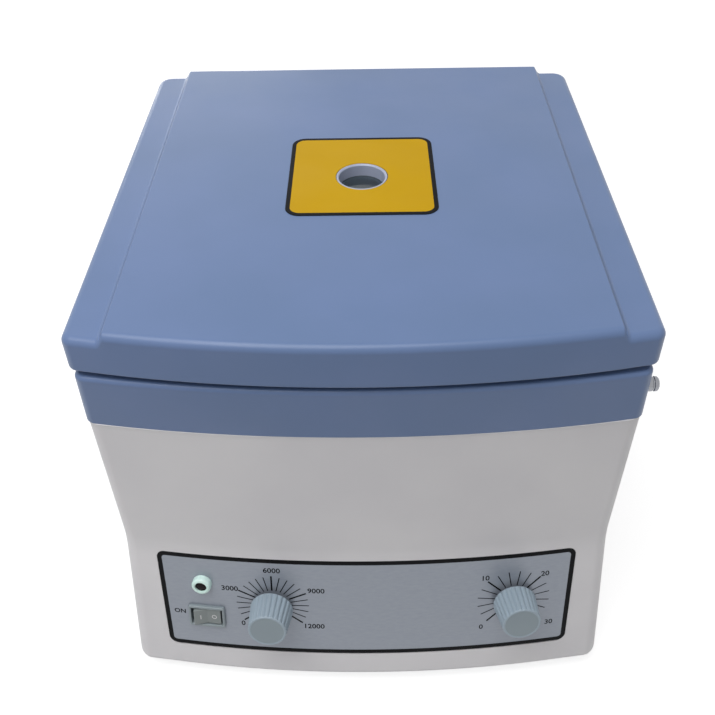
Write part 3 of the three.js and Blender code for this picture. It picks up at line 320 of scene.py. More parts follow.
def toLinear(code, alpha=1.0):  # sRGB hex to linear
    parts = [int(code[i:i + 2], 16) / 255 for i in (1, 3, 5)]
    return [p / 12.92 if p <= 0.04045 else ((p + 0.055) / 1.055) ** 2.4 for p in parts] + [alpha]


def newMaterial(name):
    material = bpy.data.materials.new(name)
    material.use_nodes = True
    material.node_tree.nodes.clear()
    return material


def addNode(material, kind, links=None, **settings):
    # adds a node; settings are its own values or, with in_, those of its sockets; links come from a
    # socket or from a node's first output
    tree = material.node_tree
    node = tree.nodes.new("ShaderNode" + kind)
    for name, value in settings.items():
        if name.startswith("in_"):
            key = name[3:]
            node.inputs[int(key) if key.isdigit() else key.replace("_", " ")].default_value = value
        else:
            setattr(node, name, value)
    for socket, source in (links or {}).items():
        tree.links.new(getattr(source, "outputs", [source])[0], node.inputs[socket])
    return node


def ramp(material, value, shade, colour, start=0.0, end=1.0):  # blends two tones
    tone = addNode(material, "ValToRGB", {0: value})
    first, last = tone.color_ramp.elements
    first.position, last.position = start, end
    first.color, last.color = toLinear(shade), toLinear(colour)
    return tone


stage = {
    "floorSize": 12000, "floorColour": ("#b2b2b2", "#b8b8b8"), "floorGlow": 0.76,
    "ambient": 0.34, "aim": (0, 0, 130),
    "topLamp": {"place": (-320, -400, 1460), "size": 1000, "watts": 14.0},
    "frontLamp": {"place": (-900, -1300, 700), "size": 700, "watts": 0.5},
    "backLamp": {"place": (-500, 1500, 350), "size": 700, "watts": 4.0},
}


def unlitRays(material):  # 1 for rays from the camera, from a gloss and through glass, 0 for those that light
    rays = addNode(material, "LightPath")
    either = rays.outputs["Is Camera Ray"]
    for kind in ("Is Glossy Ray", "Is Transmission Ray"):
        either = addNode(material, "Math", {0: either, 1: rays.outputs[kind]}, operation="MAXIMUM")
    return either


def makeStage():
    scene = bpy.context.scene
    scene.view_settings.view_transform = "Standard"
    world = bpy.data.worlds.new("paleRoom")
    scene.world = world
    world.use_nodes = True
    world.node_tree.nodes.clear()
    light = addNode(world, "Background", in_Color=(1, 1, 1, 1), in_Strength=stage["ambient"])
    white = addNode(world, "Background", in_Color=(1, 1, 1, 1), in_Strength=1.0)
    mixed = addNode(world, "MixShader", {0: unlitRays(world), 1: light, 2: white})
    addNode(world, "OutputWorld", {0: mixed})
    for name in ("topLamp", "frontLamp", "backLamp"):
        values = stage[name]
        atRest()
        bpy.ops.object.light_add(type="AREA", location=[c * mm for c in values["place"]])
        lamp = named(name)
        lamp.data.size = values["size"] * mm
        lamp.data.energy = values["watts"]
        aim = Vector(stage["aim"]) * mm - lamp.location
        lamp.rotation_euler = aim.to_track_quat("-Z", "Y").to_euler()
    atRest()
    bpy.ops.mesh.primitive_plane_add(size=stage["floorSize"] * mm)
    floor = named("floor")
    paper = newMaterial("matteWhitePaperSweep")
    cloud = addNode(paper, "TexNoise", in_Scale=3.0, in_Detail=2.0)
    diffuse = addNode(paper, "BsdfDiffuse", {0: ramp(paper, cloud, *stage["floorColour"])})
    glow = addNode(paper, "Math", {0: unlitRays(paper)}, operation="MULTIPLY", in_1=stage["floorGlow"])
    shine = addNode(paper, "Emission", {1: glow}, in_Color=(1, 1, 1, 1))
    both = addNode(paper, "AddShader", {0: diffuse, 1: shine})
    addNode(paper, "OutputMaterial", {0: both})
    floor.data.materials.append(paper)


makeCamera()
makeStage()
print("camera, lamps and floor are set")


# Materials

materials = {}


def startMaterial(name):
    material = newMaterial(name)
    return material, addNode(material, "TexCoord").outputs["Object"]


def noise(material, place, scale, detail, **more):
    return addNode(material, "TexNoise", {0: place}, in_Scale=scale, in_Detail=detail, **more)


def spread(material, value, low, high):  # the middle of a noise, stretched from low to high
    return addNode(material, "MapRange", {0: value}, in_1=0.3, in_2=0.7, in_3=low, in_4=high)


def relief(material, height, strength, depth):
    return addNode(material, "Bump", {"Height": height}, in_Strength=strength, in_Distance=depth * mm)


def surface(material, links, **values):
    shader = addNode(material, "BsdfPrincipled", links, **values)
    addNode(material, "OutputMaterial", {0: shader})
    materials[material.name] = material


def mouldedPlastic(name, colour, shade, roughness, grain, depth, **shader):
    # injection-moulded part from a spark-eroded mould: an even grain, and a faint drift of tone from the
    # flow of the melt; grain and depth are in mm, coarser than the real grain so that it shows
    material, place = startMaterial(name)
    flow = noise(material, place, 14.0, 3.0, in_Roughness=0.5)
    grit = noise(material, place, 1000 / grain / 1.6, 2.0)
    smudge = noise(material, place, 32.0, 4.0)
    surface(material, {
        "Base Color": ramp(material, flow, shade, colour, 0.35, 0.68),
        "Roughness": spread(material, smudge, roughness - 0.05, roughness + 0.05),
        "Normal": relief(material, grit, 0.6, depth)}, in_IOR=1.5, **shader)


def turnedMetal(name, colour, shade, roughness, pitch, depth, centre, axis="Z"):
    # metal turned or spun on a lathe: rings round its own axis, pitch and depth in mm, coarser than the
    # real tool marks so that they show
    material, place = startMaterial(name)
    at = addNode(material, "Mapping", {0: place}, in_Location=[-c * mm for c in centre])
    rings = addNode(material, "TexWave", {0: at}, wave_type="RINGS", rings_direction=axis,
                    in_Scale=1000 / pitch / 20, in_Distortion=0.6, in_Detail=2.0, in_Detail_Scale=3.0)
    haze = noise(material, place, 45.0, 4.0)
    surface(material, {
        "Base Color": ramp(material, haze, shade, colour, 0.3, 0.7),
        "Roughness": spread(material, haze, roughness - 0.04, roughness + 0.06),
        "Normal": relief(material, rings.outputs[1], 0.5, depth)}, in_Metallic=1.0)


def sheetMetal(name, colour, shade, roughness, stretch, depth, metallic=1.0):
    # rolled or brushed sheet: short marks that all run one way; stretch is their number in a metre along
    # x, y and z; the brushed steel's are 0.7 mm wide, coarser than the real ones so that they show
    material, place = startMaterial(name)
    along = addNode(material, "Mapping", {0: place}, in_Scale=stretch)
    lines = noise(material, along, 1.0, 3.0)
    surface(material, {
        "Base Color": ramp(material, lines, shade, colour, 0.3, 0.7),
        "Roughness": spread(material, lines, roughness - 0.06, roughness + 0.06),
        "Normal": relief(material, lines, 0.4, depth)}, in_Metallic=metallic)


def rubber(name, colour, shade, roughness):
    # moulded rubber: dull, with a pale bloom in patches of 11 mm and a skin pitted every 0.6 mm, coarser
    # than the real one so that it shows
    material, place = startMaterial(name)
    bloom = noise(material, place, 90.0, 5.0)
    pits = addNode(material, "TexVoronoi", {0: place}, in_Scale=1600.0)
    surface(material, {
        "Base Color": ramp(material, bloom, shade, colour),
        "Normal": relief(material, pits, 0.4, 0.02)}, in_Roughness=roughness, in_IOR=1.52)


def makeMaterials():
    # lid and deck, housing, window sleeve, and the vacuum-formed plate under the lid
    mouldedPlastic("mouldedBlueAbs", "#687ea8", "#637aa2", 0.35, 1.6, 0.012, in_Specular_IOR_Level=0.4)
    mouldedPlastic("mouldedWhiteAbs", "#e6e4e6", "#e0dee1", 0.40, 1.2, 0.010)
    mouldedPlastic("mouldedGreySleeve", "#b0b7cc", "#a8b0c6", 0.38, 0.7, 0.010)
    mouldedPlastic("vacuumFormedLiner", "#d3d6d8", "#cbcfd2", 0.46, 1.2, 0.02)
    # silk-screened plate and inks: dull, so that they keep their colour under the lamps
    mouldedPlastic("screenedYellowPlate", "#c79d00", "#c19700", 0.50, 1.6, 0.006, in_Specular_IOR_Level=0.12)
    mouldedPlastic("screenedBlackInk", "#0b0c0f", "#07080a", 0.55, 0.4, 0.004, in_Specular_IOR_Level=0.08)
    mouldedPlastic("blackRingInk", "#0e0f12", "#090a0c", 0.55, 0.4, 0.004, in_Specular_IOR_Level=0.08)
    # knobs, switch and lamp
    mouldedPlastic("mouldedKnobPlastic", "#a3b1bc", "#9aaab6", 0.42, 0.5, 0.010)
    # the knob's face: the knob plastic darkened as painted shade, for a face that looks forward and down
    mouldedPlastic("knobFacePaintedShadePlastic", "#929fa6", "#8a979f", 0.38, 0.5, 0.008)
    mouldedPlastic("mouldedSwitchPlastic", "#8f9a9f", "#879297", 0.38, 0.5, 0.008)
    mouldedPlastic("greyRockerPlastic", "#858c8c", "#7d8585", 0.34, 0.5, 0.008)
    mouldedPlastic("mintLampPlastic", "#e2fdf5", "#d6f8ef", 0.36, 0.6, 0.006,
                   in_Subsurface_Weight=0.15, in_Subsurface_Radius=(0.004, 0.005, 0.005))
    mouldedPlastic("smokedLensPlastic", "#160c11", "#0f070b", 0.16, 0.8, 0.004, in_Specular_IOR_Level=0.1)
    # inlet, fuse drawer and motor parts, and the glass-fibre board inside
    mouldedPlastic("mouldedBlackPlastic", "#26272a", "#1d1e21", 0.45, 0.5, 0.014)
    mouldedPlastic("boardLaminate", "#2f6d48", "#265a3c", 0.42, 0.35, 0.02)
    # feet and mounts, and the seals
    rubber("mouldedBlackRubber", "#232427", "#17181a", 0.78)
    rubber("siliconeGasket", "#3a3b3f", "#2c2d31", 0.62)
    # panel, hinges, unseen steel, windings and contacts
    sheetMetal("satinPanelFoil", "#989ea8", "#9298a3", 0.36, (260.0, 260.0, 900.0), 0.006, metallic=0.25)
    sheetMetal("brushedSteelSheet", "#b8babd", "#a3a6aa", 0.34, (1400.0, 160.0, 160.0), 0.01)
    sheetMetal("galvanisedSteel", "#a9adb1", "#8f9499", 0.46, (120.0, 120.0, 120.0), 0.02)
    sheetMetal("enamelledCopperWire", "#a6602e", "#7c4420", 0.36, (40.0, 40.0, 1500.0), 0.05, metallic=0.9)
    sheetMetal("platedBrass", "#c9a765", "#b08f50", 0.3, (500.0, 500.0, 60.0), 0.01)
    # bowl, rotor, and the plated pins and screws
    turnedMetal("spunStainlessSteel", "#c6c8ca", "#b3b6b9", 0.26, 1.6, 0.015, (0, windowY, 0))
    turnedMetal("machinedAluminium", "#cfd2d5", "#bcc0c4", 0.33, 0.9, 0.012, (0, windowY, 0))
    turnedMetal("chromePlatedSteel", "#9c9ea3", "#909298", 0.12, 0.6, 0.002, (0, *centreOf("lock_pin")[1:]),
                axis="X")
    glass, place = startMaterial("clearAcrylicDisc")  # polished disc: sharp gloss and a faint smoky tint
    surface(glass, {"Roughness": spread(glass, noise(glass, place, 220.0, 3.0), 0.02, 0.09)},
            in_Base_Color=toLinear("#7f8d94"), in_IOR=1.49, in_Transmission_Weight=0.9)


makeMaterials()
print("materials are made:", len(materials))


# Large shells

def raised(name, v, height):
    # straight back and sides, the front edge spun out into a shallow arc, drawn up by the steps of height
    half, front, back, bow, z = [v[key] for key in ("half", "front", "back", "bow", "bottom")]
    obj = sheet(name, (0, (front + back) / 2, z), 2 * half, back - front)
    shape(obj)
    pick(obj, "EDGE", lambda mid, along: mid.y < front + 1)
    bpy.ops.mesh.delete(type="EDGE")
    pick(obj, "VERT", lambda co: co.x > 0 and co.y < front + 1)
    radius = (half ** 2 + bow ** 2) / (2 * bow)
    whole, end = 2 * math.asin(half / radius), 20 / radius  # long end steps leave room for the corner bevels
    for steps, angle in ((1, end), (44, whole - 2 * end), (1, end)):
        bpy.ops.mesh.spin(steps=steps, angle=angle, axis=(0, 0, 1),
                          center=(0, (front + radius - bow) * mm, z * mm))
    mergeClose(0.01)
    pickAll()
    bpy.ops.mesh.edge_face_add()
    for step in height:
        extrude(z=step)
    closeUp()
    return obj


def edgeRound(obj, up, width, segments):
    # rounds the outline of the faces that look up (1) or down (-1)
    roundRim(obj, lambda mid, normal: normal.z * up > 0.3, width, segments)


lidShell = {
    "half": 139.5, "front": -125.22, "back": 156.78, "bow": 14.5,
    "bottom": 234.4, "shelf": 253.8, "raised": 5.0, "raisedHalf": 117.5, "stepWidth": 4.5,
    "step": [(0, 1), (0.08, 0.97), (0.18, 0.86), (0.35, 0.6), (0.55, 0.32), (0.75, 0.12), (1, 0)],
    "frontCorner": 5, "backCorner": 9, "topEdge": 4.0, "bottomEdge": 1.2, "wall": 3.0,
    "windowHole": 14.7, "windowCut": (228, 262),
}


def makeLidShell():
    v = lidShell
    obj = raised("lidShell", v, [v["shelf"] - v["bottom"]])
    roundEdges(obj, 2, v["frontCorner"], 8, lambda mid: abs(mid.x) > v["half"] - 1 and mid.y < 0)
    roundEdges(obj, 2, v["backCorner"], 8, lambda mid: abs(mid.x) > v["half"] - 1 and mid.y > 0)
    edgeRound(obj, 1, v["topEdge"], 6)
    edgeRound(obj, -1, v["bottomEdge"], 3)
    pick(obj, "FACE", facing(2, -1, lambda mid: mid.z < v["bottom"] + 0.1))
    inset(v["wall"] - v["bottomEdge"])
    extrude(z=v["shelf"] - v["bottom"] - v["wall"])
    for sign in (-1, 1):
        for share, _ in v["step"]:
            bisect(0, sign * (v["raisedHalf"] + share * v["stepWidth"]))
    last = 0
    for share, height in v["step"]:  # the rounded edge goes up with the middle, less and less across the step
        outer = v["raisedHalf"] + share * v["stepWidth"] + 0.02
        pick(obj, "VERT", lambda co: co.z > v["shelf"] - v["topEdge"] - 0.01 and last <= abs(co.x) < outer)
        move(z=v["raised"] * height)
        last = outer
    cut(obj, rod("windowCut", v["windowHole"], *v["windowCut"], place=rotorAxis))
    finishPiece(obj, "lid", "mouldedBlueAbs", ["lid_shell"])


makeLidShell()

deckShell = {
    "half": 137.9, "front": -126.05, "back": 156.18, "bow": 12.3,
    "bottom": 198.3, "top": 230.8, "corner": 5, "draft": (1.0095, 0.9844), "topEdge": 2.5,
    "wall": 3.0, "plate": 4.0, "bowlHole": 113.5, "bowlCut": 190, "cutTop": 240,
    "seatRadius": 120.5, "seatDepth": 2.0, "seatEdge": 0.6,
    "slotMargin": 1.5, "slotBottom": 224, "pinHole": 4.2, "pinCut": (120, 150),
}


def makeDeck():
    v = deckShell
    obj = raised("topDeck", v, [v["top"] - v["bottom"]])
    pick(obj, "VERT", lambda co: co.z < v["bottom"] + 0.1)
    resize(*v["draft"], (0, (v["front"] + v["back"]) / 2, 0))
    roundEdges(obj, 2, v["corner"], 8, lambda mid: abs(mid.x) > v["half"] - 2)
    edgeRound(obj, 1, v["topEdge"], 6)
    pick(obj, "FACE", facing(2, -1))
    inset(v["wall"])
    extrude(z=v["top"] - v["bottom"] - v["plate"])
    low, high = boxOf("lid_keeper")
    edge, top = v["slotMargin"], v["cutTop"]
    cut(obj,
        rod("bowlCut", v["bowlHole"], v["bowlCut"], top, 144, rotorAxis),
        rod("seatCut", v["seatRadius"], v["top"] - v["seatDepth"], top, 144, rotorAxis),
        block("keeperCut", (low.x - edge, low.y - edge, v["slotBottom"]),
              (high.x + edge, high.y + edge, top)),
        rod("pinCut", v["pinHole"], *v["pinCut"], 48, pinAxis))
    shape(obj)
    pick(obj, "EDGE", lambda mid, along: abs(along.z) < 0.1 and abs(mid.z - v["top"]) < 0.05
         and abs(math.hypot(mid.x, mid.y - windowY) - v["seatRadius"]) < 0.3)
    bevel(v["seatEdge"], 2)
    finishPiece(obj, "base", "mouldedBlueAbs", ["top_deck"])


makeDeck()
print("lid shell and deck are made")

housingShell = {
    "half": 138.1, "front": -123.82, "back": 155.38, "bow": 11.8,
    "bottom": 8.0, "waist": 101.0, "top": 198.0, "slope": 12.0, "sideRun": 3.41, "topFlare": 1.3,
    "corner": 8, "crease": 7.0, "bottomEdge": 5.0, "wall": 3.5, "lip": 1.003, "lipHeight": 1.4,
    "ventCount": 9, "ventWidth": 3.0, "ventHeight": 36.0, "ventPitch": 7.0, "ventX": 58.0, "ventZ": 78.0,
    "ventRound": 1.2, "backCut": (8, 4), "inletLip": (2, 2.5), "panelCut": 3.0,
}
panelPlate = {
    "half": 119.5, "height": 72.1, "corner": 4.8, "border": 2.8, "thickness": 1.0, "proud": 0.3,
    "margin": 0.3, "fromWaist": 2.7, "columns": 47, "column": 5, "start": -220,
}
slope = math.radians(housingShell["slope"])
panelMiddle = housingShell["waist"] - panelPlate["fromWaist"] - panelPlate["height"] / 2 * math.cos(slope)


def frontY(x, z, outward=0.0):  # the sloping front below the waist
    v = housingShell
    bulge = v["bow"] * (1 - (x / v["half"]) ** 2)
    return v["front"] - bulge - (v["waist"] - z) * math.tan(slope) - outward / math.cos(slope)


def panelPlace(x, v, lift=0.0):  # x along the panel, y up its slope, z straight out of its face
    z = panelMiddle + v * math.cos(slope)
    along = Vector((1, 2 * housingShell["bow"] * x / housingShell["half"] ** 2, 0)).normalized()
    up = Vector((0, math.sin(slope), math.cos(slope)))
    out = along.cross(up).normalized()
    up = out.cross(along)
    turn = Matrix((along, up, out)).transposed().to_4x4()
    at = Vector((x, frontY(x, z, panelPlate["proud"]), z)) + out * lift
    return shift(*at) @ turn


def panelSheet(name, face, margin, proud, depth):
    # flat rounded plate in front of the housing, in narrow columns, laid on its face and given its thickness
    v = panelPlate
    height = (v["height"] + 2 * margin) * math.cos(slope)
    obj = sheet(name, (0, v["start"], panelMiddle), 2 * (v["half"] + margin), height, (math.pi / 2, 0, 0))
    coat(obj, "satinPanelFoil", "screenedBlackInk")
    shape(obj)
    pickAll()
    bevel(v["corner"] + margin, 8, "VERTICES")
    pickAll()
    paint(1)
    bpy.ops.mesh.select_mode(type="FACE")
    pickAll()
    inset(v["border"])
    paint(0)
    for i in range(v["columns"]):
        bisect(0, (i - v["columns"] // 2) * v["column"])
    layOn(obj, face, proud / math.cos(slope))
    modify(obj, "SOLIDIFY", thickness=depth * mm, offset=-1)
    return obj


controls = {
    "speed": (-54.6, 0.8), "timer": (85.5, 1.9), "rocker": (-94.0, -10.5), "lamp": (-94.5, 15.0),
    "hole": 5.0, "rockerHole": (10.3, 7.2), "cut": (-9, 3),
}


def controlCuts():
    v = controls
    wide, high = v["rockerHole"]
    low, top = v["cut"]
    holes = [rod(name + "Cut", v["hole"], low, top, 48, panelPlace(*v[name]))
             for name in ("speed", "timer", "lamp")]
    return holes + [block("rockerCut", (-wide, -high, low), (wide, high, top), panelPlace(*v["rocker"]))]


def makeHousing():
    v = housingShell
    obj = raised("housingShell", v, [v["waist"] - v["bottom"], v["top"] - v["waist"]])
    pick(obj, "VERT", lambda co: co.z < v["bottom"] + 1 and co.y < v["front"] + 1)
    move(y=-(v["waist"] - v["bottom"]) * math.tan(slope))
    face = copyOf(obj, "frontFace")
    shape(obj)
    for sign in (-1, 1):  # the sides lean out below the waist, and a little above it
        for level, run in (("bottom", "sideRun"), ("top", "topFlare")):
            pick(obj, "VERT", lambda co: abs(co.z - v[level]) < 1 and co.x * sign > v["half"] - 1)
            move(x=sign * v[run])
    pick(obj, "EDGE", lambda mid, along: abs(along.z) > 0.8 and abs(mid.x) > v["half"] - 1)
    bevel(v["corner"], 10)
    pick(obj, "EDGE", lambda mid, along: abs(along.z) < 0.1 and abs(mid.z - v["waist"]) < 0.1)
    bevel(v["crease"], 6)
    edgeRound(obj, -1, v["bottomEdge"], 6)
    pick(obj, "FACE", lambda mid, normal: normal.z < -0.95 and mid.z < v["bottom"] + 0.1)
    inset(v["wall"])
    bpy.ops.mesh.delete(type="FACE")
    bisect(2, v["top"] - v["lipHeight"])
    pick(obj, "VERT", lambda co: co.z > v["top"] - 0.1)
    resize(v["lip"], v["lip"], (0, (v["front"] + v["back"]) / 2, 0))
    pick(obj, "FACE", facing(2, 1))
    bpy.ops.mesh.delete(type="FACE")
    modify(obj, "SOLIDIFY", thickness=v["wall"] * mm, offset=-1, use_even_offset=True)
    recess = panelSheet("recessCut", face, panelPlate["margin"], v["panelCut"],
                        v["panelCut"] + panelPlate["thickness"])
    near, far = v["back"] - v["backCut"][0], v["back"] + v["backCut"][1]
    x = v["ventX"] - v["ventPitch"] * (v["ventCount"] - 1) / 2
    wide, tall = v["ventWidth"] / 2, v["ventHeight"] / 2
    vent = block("ventCut", (x - wide, near, v["ventZ"] - tall), (x + wide, far, v["ventZ"] + tall))
    shape(vent)
    roundEdges(vent, 1, v["ventRound"], 3)
    modify(vent, "ARRAY", count=v["ventCount"], use_relative_offset=False, use_constant_offset=True,
           constant_offset_displace=(v["ventPitch"] * mm, 0, 0))
    low, high = boxOf("power_inlet")
    wide, tall = v["inletLip"]
    inletCut = block("inletCut", (low.x + wide, near, low.z + tall), (high.x - wide, far, high.z - tall))
    cut(obj, recess, vent, inletCut, *controlCuts())
    finishPiece(obj, "base", "mouldedWhiteAbs", ["housing"])
    plate = panelSheet("controlPanel", face, 0.0, panelPlate["proud"], panelPlate["thickness"])
    cut(plate, *controlCuts())
    finishPiece(plate, "base", None, ["control_panel"], 30)
    return face


frontFace = makeHousing()
print("housing and control panel are made")


# Print on the panel

panelPrint = {
    "numberSize": 5.0, "wordShare": 0.9, "above": 2.0, "stroke": 0.09, "lift": 0.03, "inner": 10.8,
    "speed": {"centre": (-54.3, 1.3), "start": 218.0, "step": 12.8, "parts": 20, "long": 21.9, "short": 21.2},
    "timer": {"centre": (85.4, 1.2), "start": 225.0, "step": 17.93, "parts": 15, "long": 21.8, "short": 21.3},
    "major": 5, "majorWidth": 1.0, "minorWidth": 0.6,
    "words": [
        ("ON", -110.1, -9.8), ("0", -72.6, -15.1), ("3000", -78.7, 11.8), ("6000", -53.5, 27.2),
        ("9000", -28.7, 12.9), ("12000", -30.8, -15.0),
        ("0", 67.4, -18.9), ("10", 68.0, 19.2), ("20", 102.6, 18.6), ("30", 107.9, -20.2),
    ],
}


def makeTick(name, start, end, width):
    middle = (start + end) / 2
    tick = sheet(name, (middle, 0, 0), end - start, width)
    shape(tick)
    bisect(0, middle)
    return tick


def makePrint():
    v = panelPrint
    marks = []
    for word, x, up in v["words"]:
        atRest()
        bpy.ops.object.text_add()
        text = named("word")
        text.data.body = word
        text.data.size = v["numberSize"] * mm * (v["wordShare"] if word == "ON" else 1)
        text.data.offset = v["stroke"] * mm
        text.data.align_x, text.data.align_y = "CENTER", "CENTER"
        text.data.resolution_u = 3
        bpy.ops.object.convert(target="MESH")
        marks.append(settle(text, panelPlace(x, up, v["above"])))
    for dial in ("speed", "timer"):
        d = v[dial]
        models = (makeTick("minorTick", v["inner"], d["short"], v["minorWidth"]),
                  makeTick("majorTick", v["inner"], d["long"], v["majorWidth"]))
        for i in range(d["parts"] + 1):
            turn = Matrix.Rotation(math.radians(d["start"] - d["step"] * i), 4, "Z")
            place = panelPlace(*d["centre"], v["above"]) @ turn
            marks.append(copyOf(models[i % v["major"] == 0], "tick", place))
        remove(*models)
    ink = weld(*marks)
    ink.name = "panelPrint"
    layOn(ink, frontFace, (panelPlate["proud"] + v["lift"]) / math.cos(slope))
    finishPiece(ink, "base", "screenedBlackInk")


makePrint()
remove(frontFace)
print("dial marks are printed")


# Controls

knobPiece = {
    "base": 12.5, "face": 11.0, "height": 17.4, "gap": 2.6, "points": 192, "ribs": 24, "flute": 0.85,
    "fluteShares": (1.0, 0.62, 0.2),  # of the depth, at a flute's middle and at the points beside it
    "edge": 0.8, "rim": 0.4, "rimSlope": 0.25, "faceSink": 0.2, "collar": 1.5, "skirt": 1.4,
    "skirtRound": 0.5, "hollowWall": 3.0, "hollow": 1.6,
}


def makeKnob(name):
    # a tapered body with round ribs between narrow flutes, its face a little below a thin rim
    v = knobPiece
    top = v["gap"] + v["height"]
    knob = rod(name, v["base"], v["gap"], top, v["points"])
    coat(knob, "mouldedKnobPlastic", "knobFacePaintedShadePlastic")
    shape(knob)
    pick(knob, "VERT", lambda co: co.z > top - 0.1)
    taper = v["face"] / v["base"]
    resize(taper, taper)
    bisect(2, top - v["collar"])
    bisect(2, v["gap"] + v["skirt"])
    step = 2 * math.pi / v["points"]
    every = v["points"] // v["ribs"]
    for i, depth in enumerate(v["fluteShares"]):
        pick(knob, "VERT", lambda co: round(math.atan2(co.y, co.x) / step) % every in (i, (every - i) % every)
             and v["gap"] + 1 < co.z < top - 1)
        share = 1 - depth * v["flute"] / v["base"]
        resize(share, share)
    upper = facing(2, 1, lambda mid: mid.z > top - 0.1)
    lower = facing(2, -1, lambda mid: mid.z < v["gap"] + 0.1)
    roundRim(knob, upper, v["edge"], 4)
    pick(knob, "FACE", upper)
    inset(v["rim"])
    inset(v["rimSlope"])
    move(z=-v["faceSink"])
    # the sunk face takes the second, darker material: painted shade
    paint(1)
    roundRim(knob, lower, v["skirtRound"], 3)
    pick(knob, "FACE", lower)
    inset(v["hollowWall"])
    extrude(z=v["hollow"])
    return knob


speedKnob = makeKnob("speedKnob")
timerKnob = copyOf(speedKnob, "timerKnob")
for obj, dial in ((speedKnob, "speed"), (timerKnob, "timer")):
    turn = Matrix.Rotation(math.radians(panelPrint[dial]["start"]), 4, "Z")
    settle(obj, panelPlace(*controls[dial]) @ turn)
    finishPiece(obj, dial + "_knob", None, [dial + "_knob"], 40)

lampPiece = {
    "radius": 5.6, "proud": 4.4, "lift": 0.05, "stem": 4.6, "stemDepth": 14.0, "edge": 1.6, "lip": 0.4,
    "well": 3.4, "wellFloor": 2.9,
    "lens": 3.2, "lensBottom": 3.0, "lensDome": ((1, 0.3), (0.6, 0.62), (0, 0.75)),
}


def makeLamp():
    v = lampPiece
    place = panelPlace(*controls["lamp"])
    low, floor, up = -v["stemDepth"], v["wellFloor"], v["proud"]
    holder = turned("lampHolder", [
        (0, low), (v["stem"], low), (v["stem"], v["lift"]), (v["radius"], v["lift"]), (v["radius"], up),
        (v["well"], up), (v["well"], floor), (0, floor)],
        rounds=[((4,), v["edge"], 4), ((5,), v["lip"], 2)], sides=64, place=place)
    finishPiece(holder, "base", "mintLampPlastic", ["lamp_holder"])
    low = v["lensBottom"]
    dome = [(v["lens"] * share, low + rise) for share, rise in v["lensDome"]]
    lens = turned("lampLens", [(0, low), (v["lens"], low), *dome],
                  rounds=[((3,), 0.6, 3)], sides=48, place=place)
    finishPiece(lens, "base", "smokedLensPlastic", ["lamp_lens"], 60)


makeLamp()

rockerPiece = {
    "wide": 21.8, "high": 15.6, "lift": 0.05, "flange": 2.0, "corner": 1.2, "edge": 0.7,
    "pocket": (18.6, 12.0), "pocketCut": (-9.0, 6), "pocketEdge": 0.5,
    "wall": 0.7, "bodyDepth": 15.0, "bodyTop": 0.5,
    "long": 15.8, "tall": 11.2, "rise": 2.6, "middle": 1.0, "keel": 3.2, "keelShare": 0.45, "pivot": 1.2,
    "round": 0.5, "tilt": 9.0, "ring": (1.1, 1.5), "bar": (0.22, 1.5), "mark": (-0.1, 0.05), "markLift": 0.02,
}


def makeRocker():
    v = rockerPiece
    place = panelPlace(*controls["rocker"])
    wide, high, wall = v["wide"] / 2, v["high"] / 2, v["wall"]
    switch = block("rockerFrame", (-wide, -high, v["lift"]), (wide, high, v["flange"]))
    shape(switch)
    roundEdges(switch, 2, v["corner"], 4)
    edgeRound(switch, 1, v["edge"], 3)
    wide, high = [size / 2 for size in v["pocket"]]
    low, top = v["pocketCut"]
    combine(switch, "UNION", block("rockerBody", (-wide - wall, -high - wall, -v["bodyDepth"]),
                                   (wide + wall, high + wall, v["bodyTop"])))
    cut(switch, block("pocketCut", (-wide, -high, low), (wide, high, top)))
    shape(switch)
    pick(switch, "EDGE", lambda mid, along: abs(mid.z - v["flange"]) < 0.05
         and abs(mid.x) < wide + 0.05 and abs(mid.y) < high + 0.05)
    bevel(v["pocketEdge"], 3)
    settle(switch, place)
    finishPiece(switch, "base", "mouldedSwitchPlastic", ["rocker_frame"])

    # the paddle: a shallow V seen from above, tipped so that its right end is down
    half, tall = v["long"] / 2, v["tall"] / 2
    paddle = block("powerRocker", (-half, -tall, -v["keel"]), (half, tall, v["middle"] + v["pivot"]))
    coat(paddle, "greyRockerPlastic")
    shape(paddle)
    bisect(0, 0)
    pick(paddle, "VERT", lambda co: abs(co.x) > half - 0.1 and co.z > 0)
    move(z=v["rise"] - v["middle"])
    pick(paddle, "VERT", lambda co: abs(co.x) > half - 0.1 and co.z < 0)
    move(z=v["keel"] * v["keelShare"])
    pick(paddle, "EDGE", lambda mid, along: mid.z > 0 or abs(along.z) > 0.5)
    bevel(v["round"], 3)
    marks = []
    low, top = v["mark"]
    fall = math.atan2(v["rise"] - v["middle"], half)
    for kind, x in (("ring", half / 2), ("bar", -half / 2)):
        level = v["middle"] + v["pivot"] + (v["rise"] - v["middle"]) * abs(x) / half
        at = shift(x, 0, level + v["markLift"]) @ Matrix.Rotation(-fall if x > 0 else fall, 4, "Y")
        if kind == "ring":
            mark = turned("offMark", ring(*v["ring"], low, top), sides=40, place=at)
        else:
            across, up = v["bar"]
            mark = block("onMark", (-across, -up, low), (across, up, top), at)
        coat(mark, "greyRockerPlastic", "mouldedWhiteAbs")
        shape(mark)
        pickAll()
        paint(1)
        marks.append(mark)
    paddle = weld(paddle, *marks)
    tip = shift(0, 0, -v["pivot"]) @ Matrix.Rotation(math.radians(v["tilt"]), 4, "Y")
    settle(paddle, place @ tip)
    finishPiece(paddle, "power_rocker", None, ["power_rocker"], 40)


makeRocker()
print("knobs, lamp and rocker are made")


# Window, label and lid parts

windowPiece = {
    "radius": 13.0, "wall": 1.4, "chamfer": 0.7, "ledge": 1.8, "bottom": 235.2, "top": 259.2,
    "glassTop": 252.4, "glass": 2.0, "gap": 0.3,
}
labelPiece = {
    "wide": 82.5, "deep": 85.5, "corner": 8, "shift": 2.5, "bottom": 258.8, "thickness": 0.4, "edge": 0.15,
    "border": 2.3, "hole": 14.7, "holeCut": (250, 270),
}


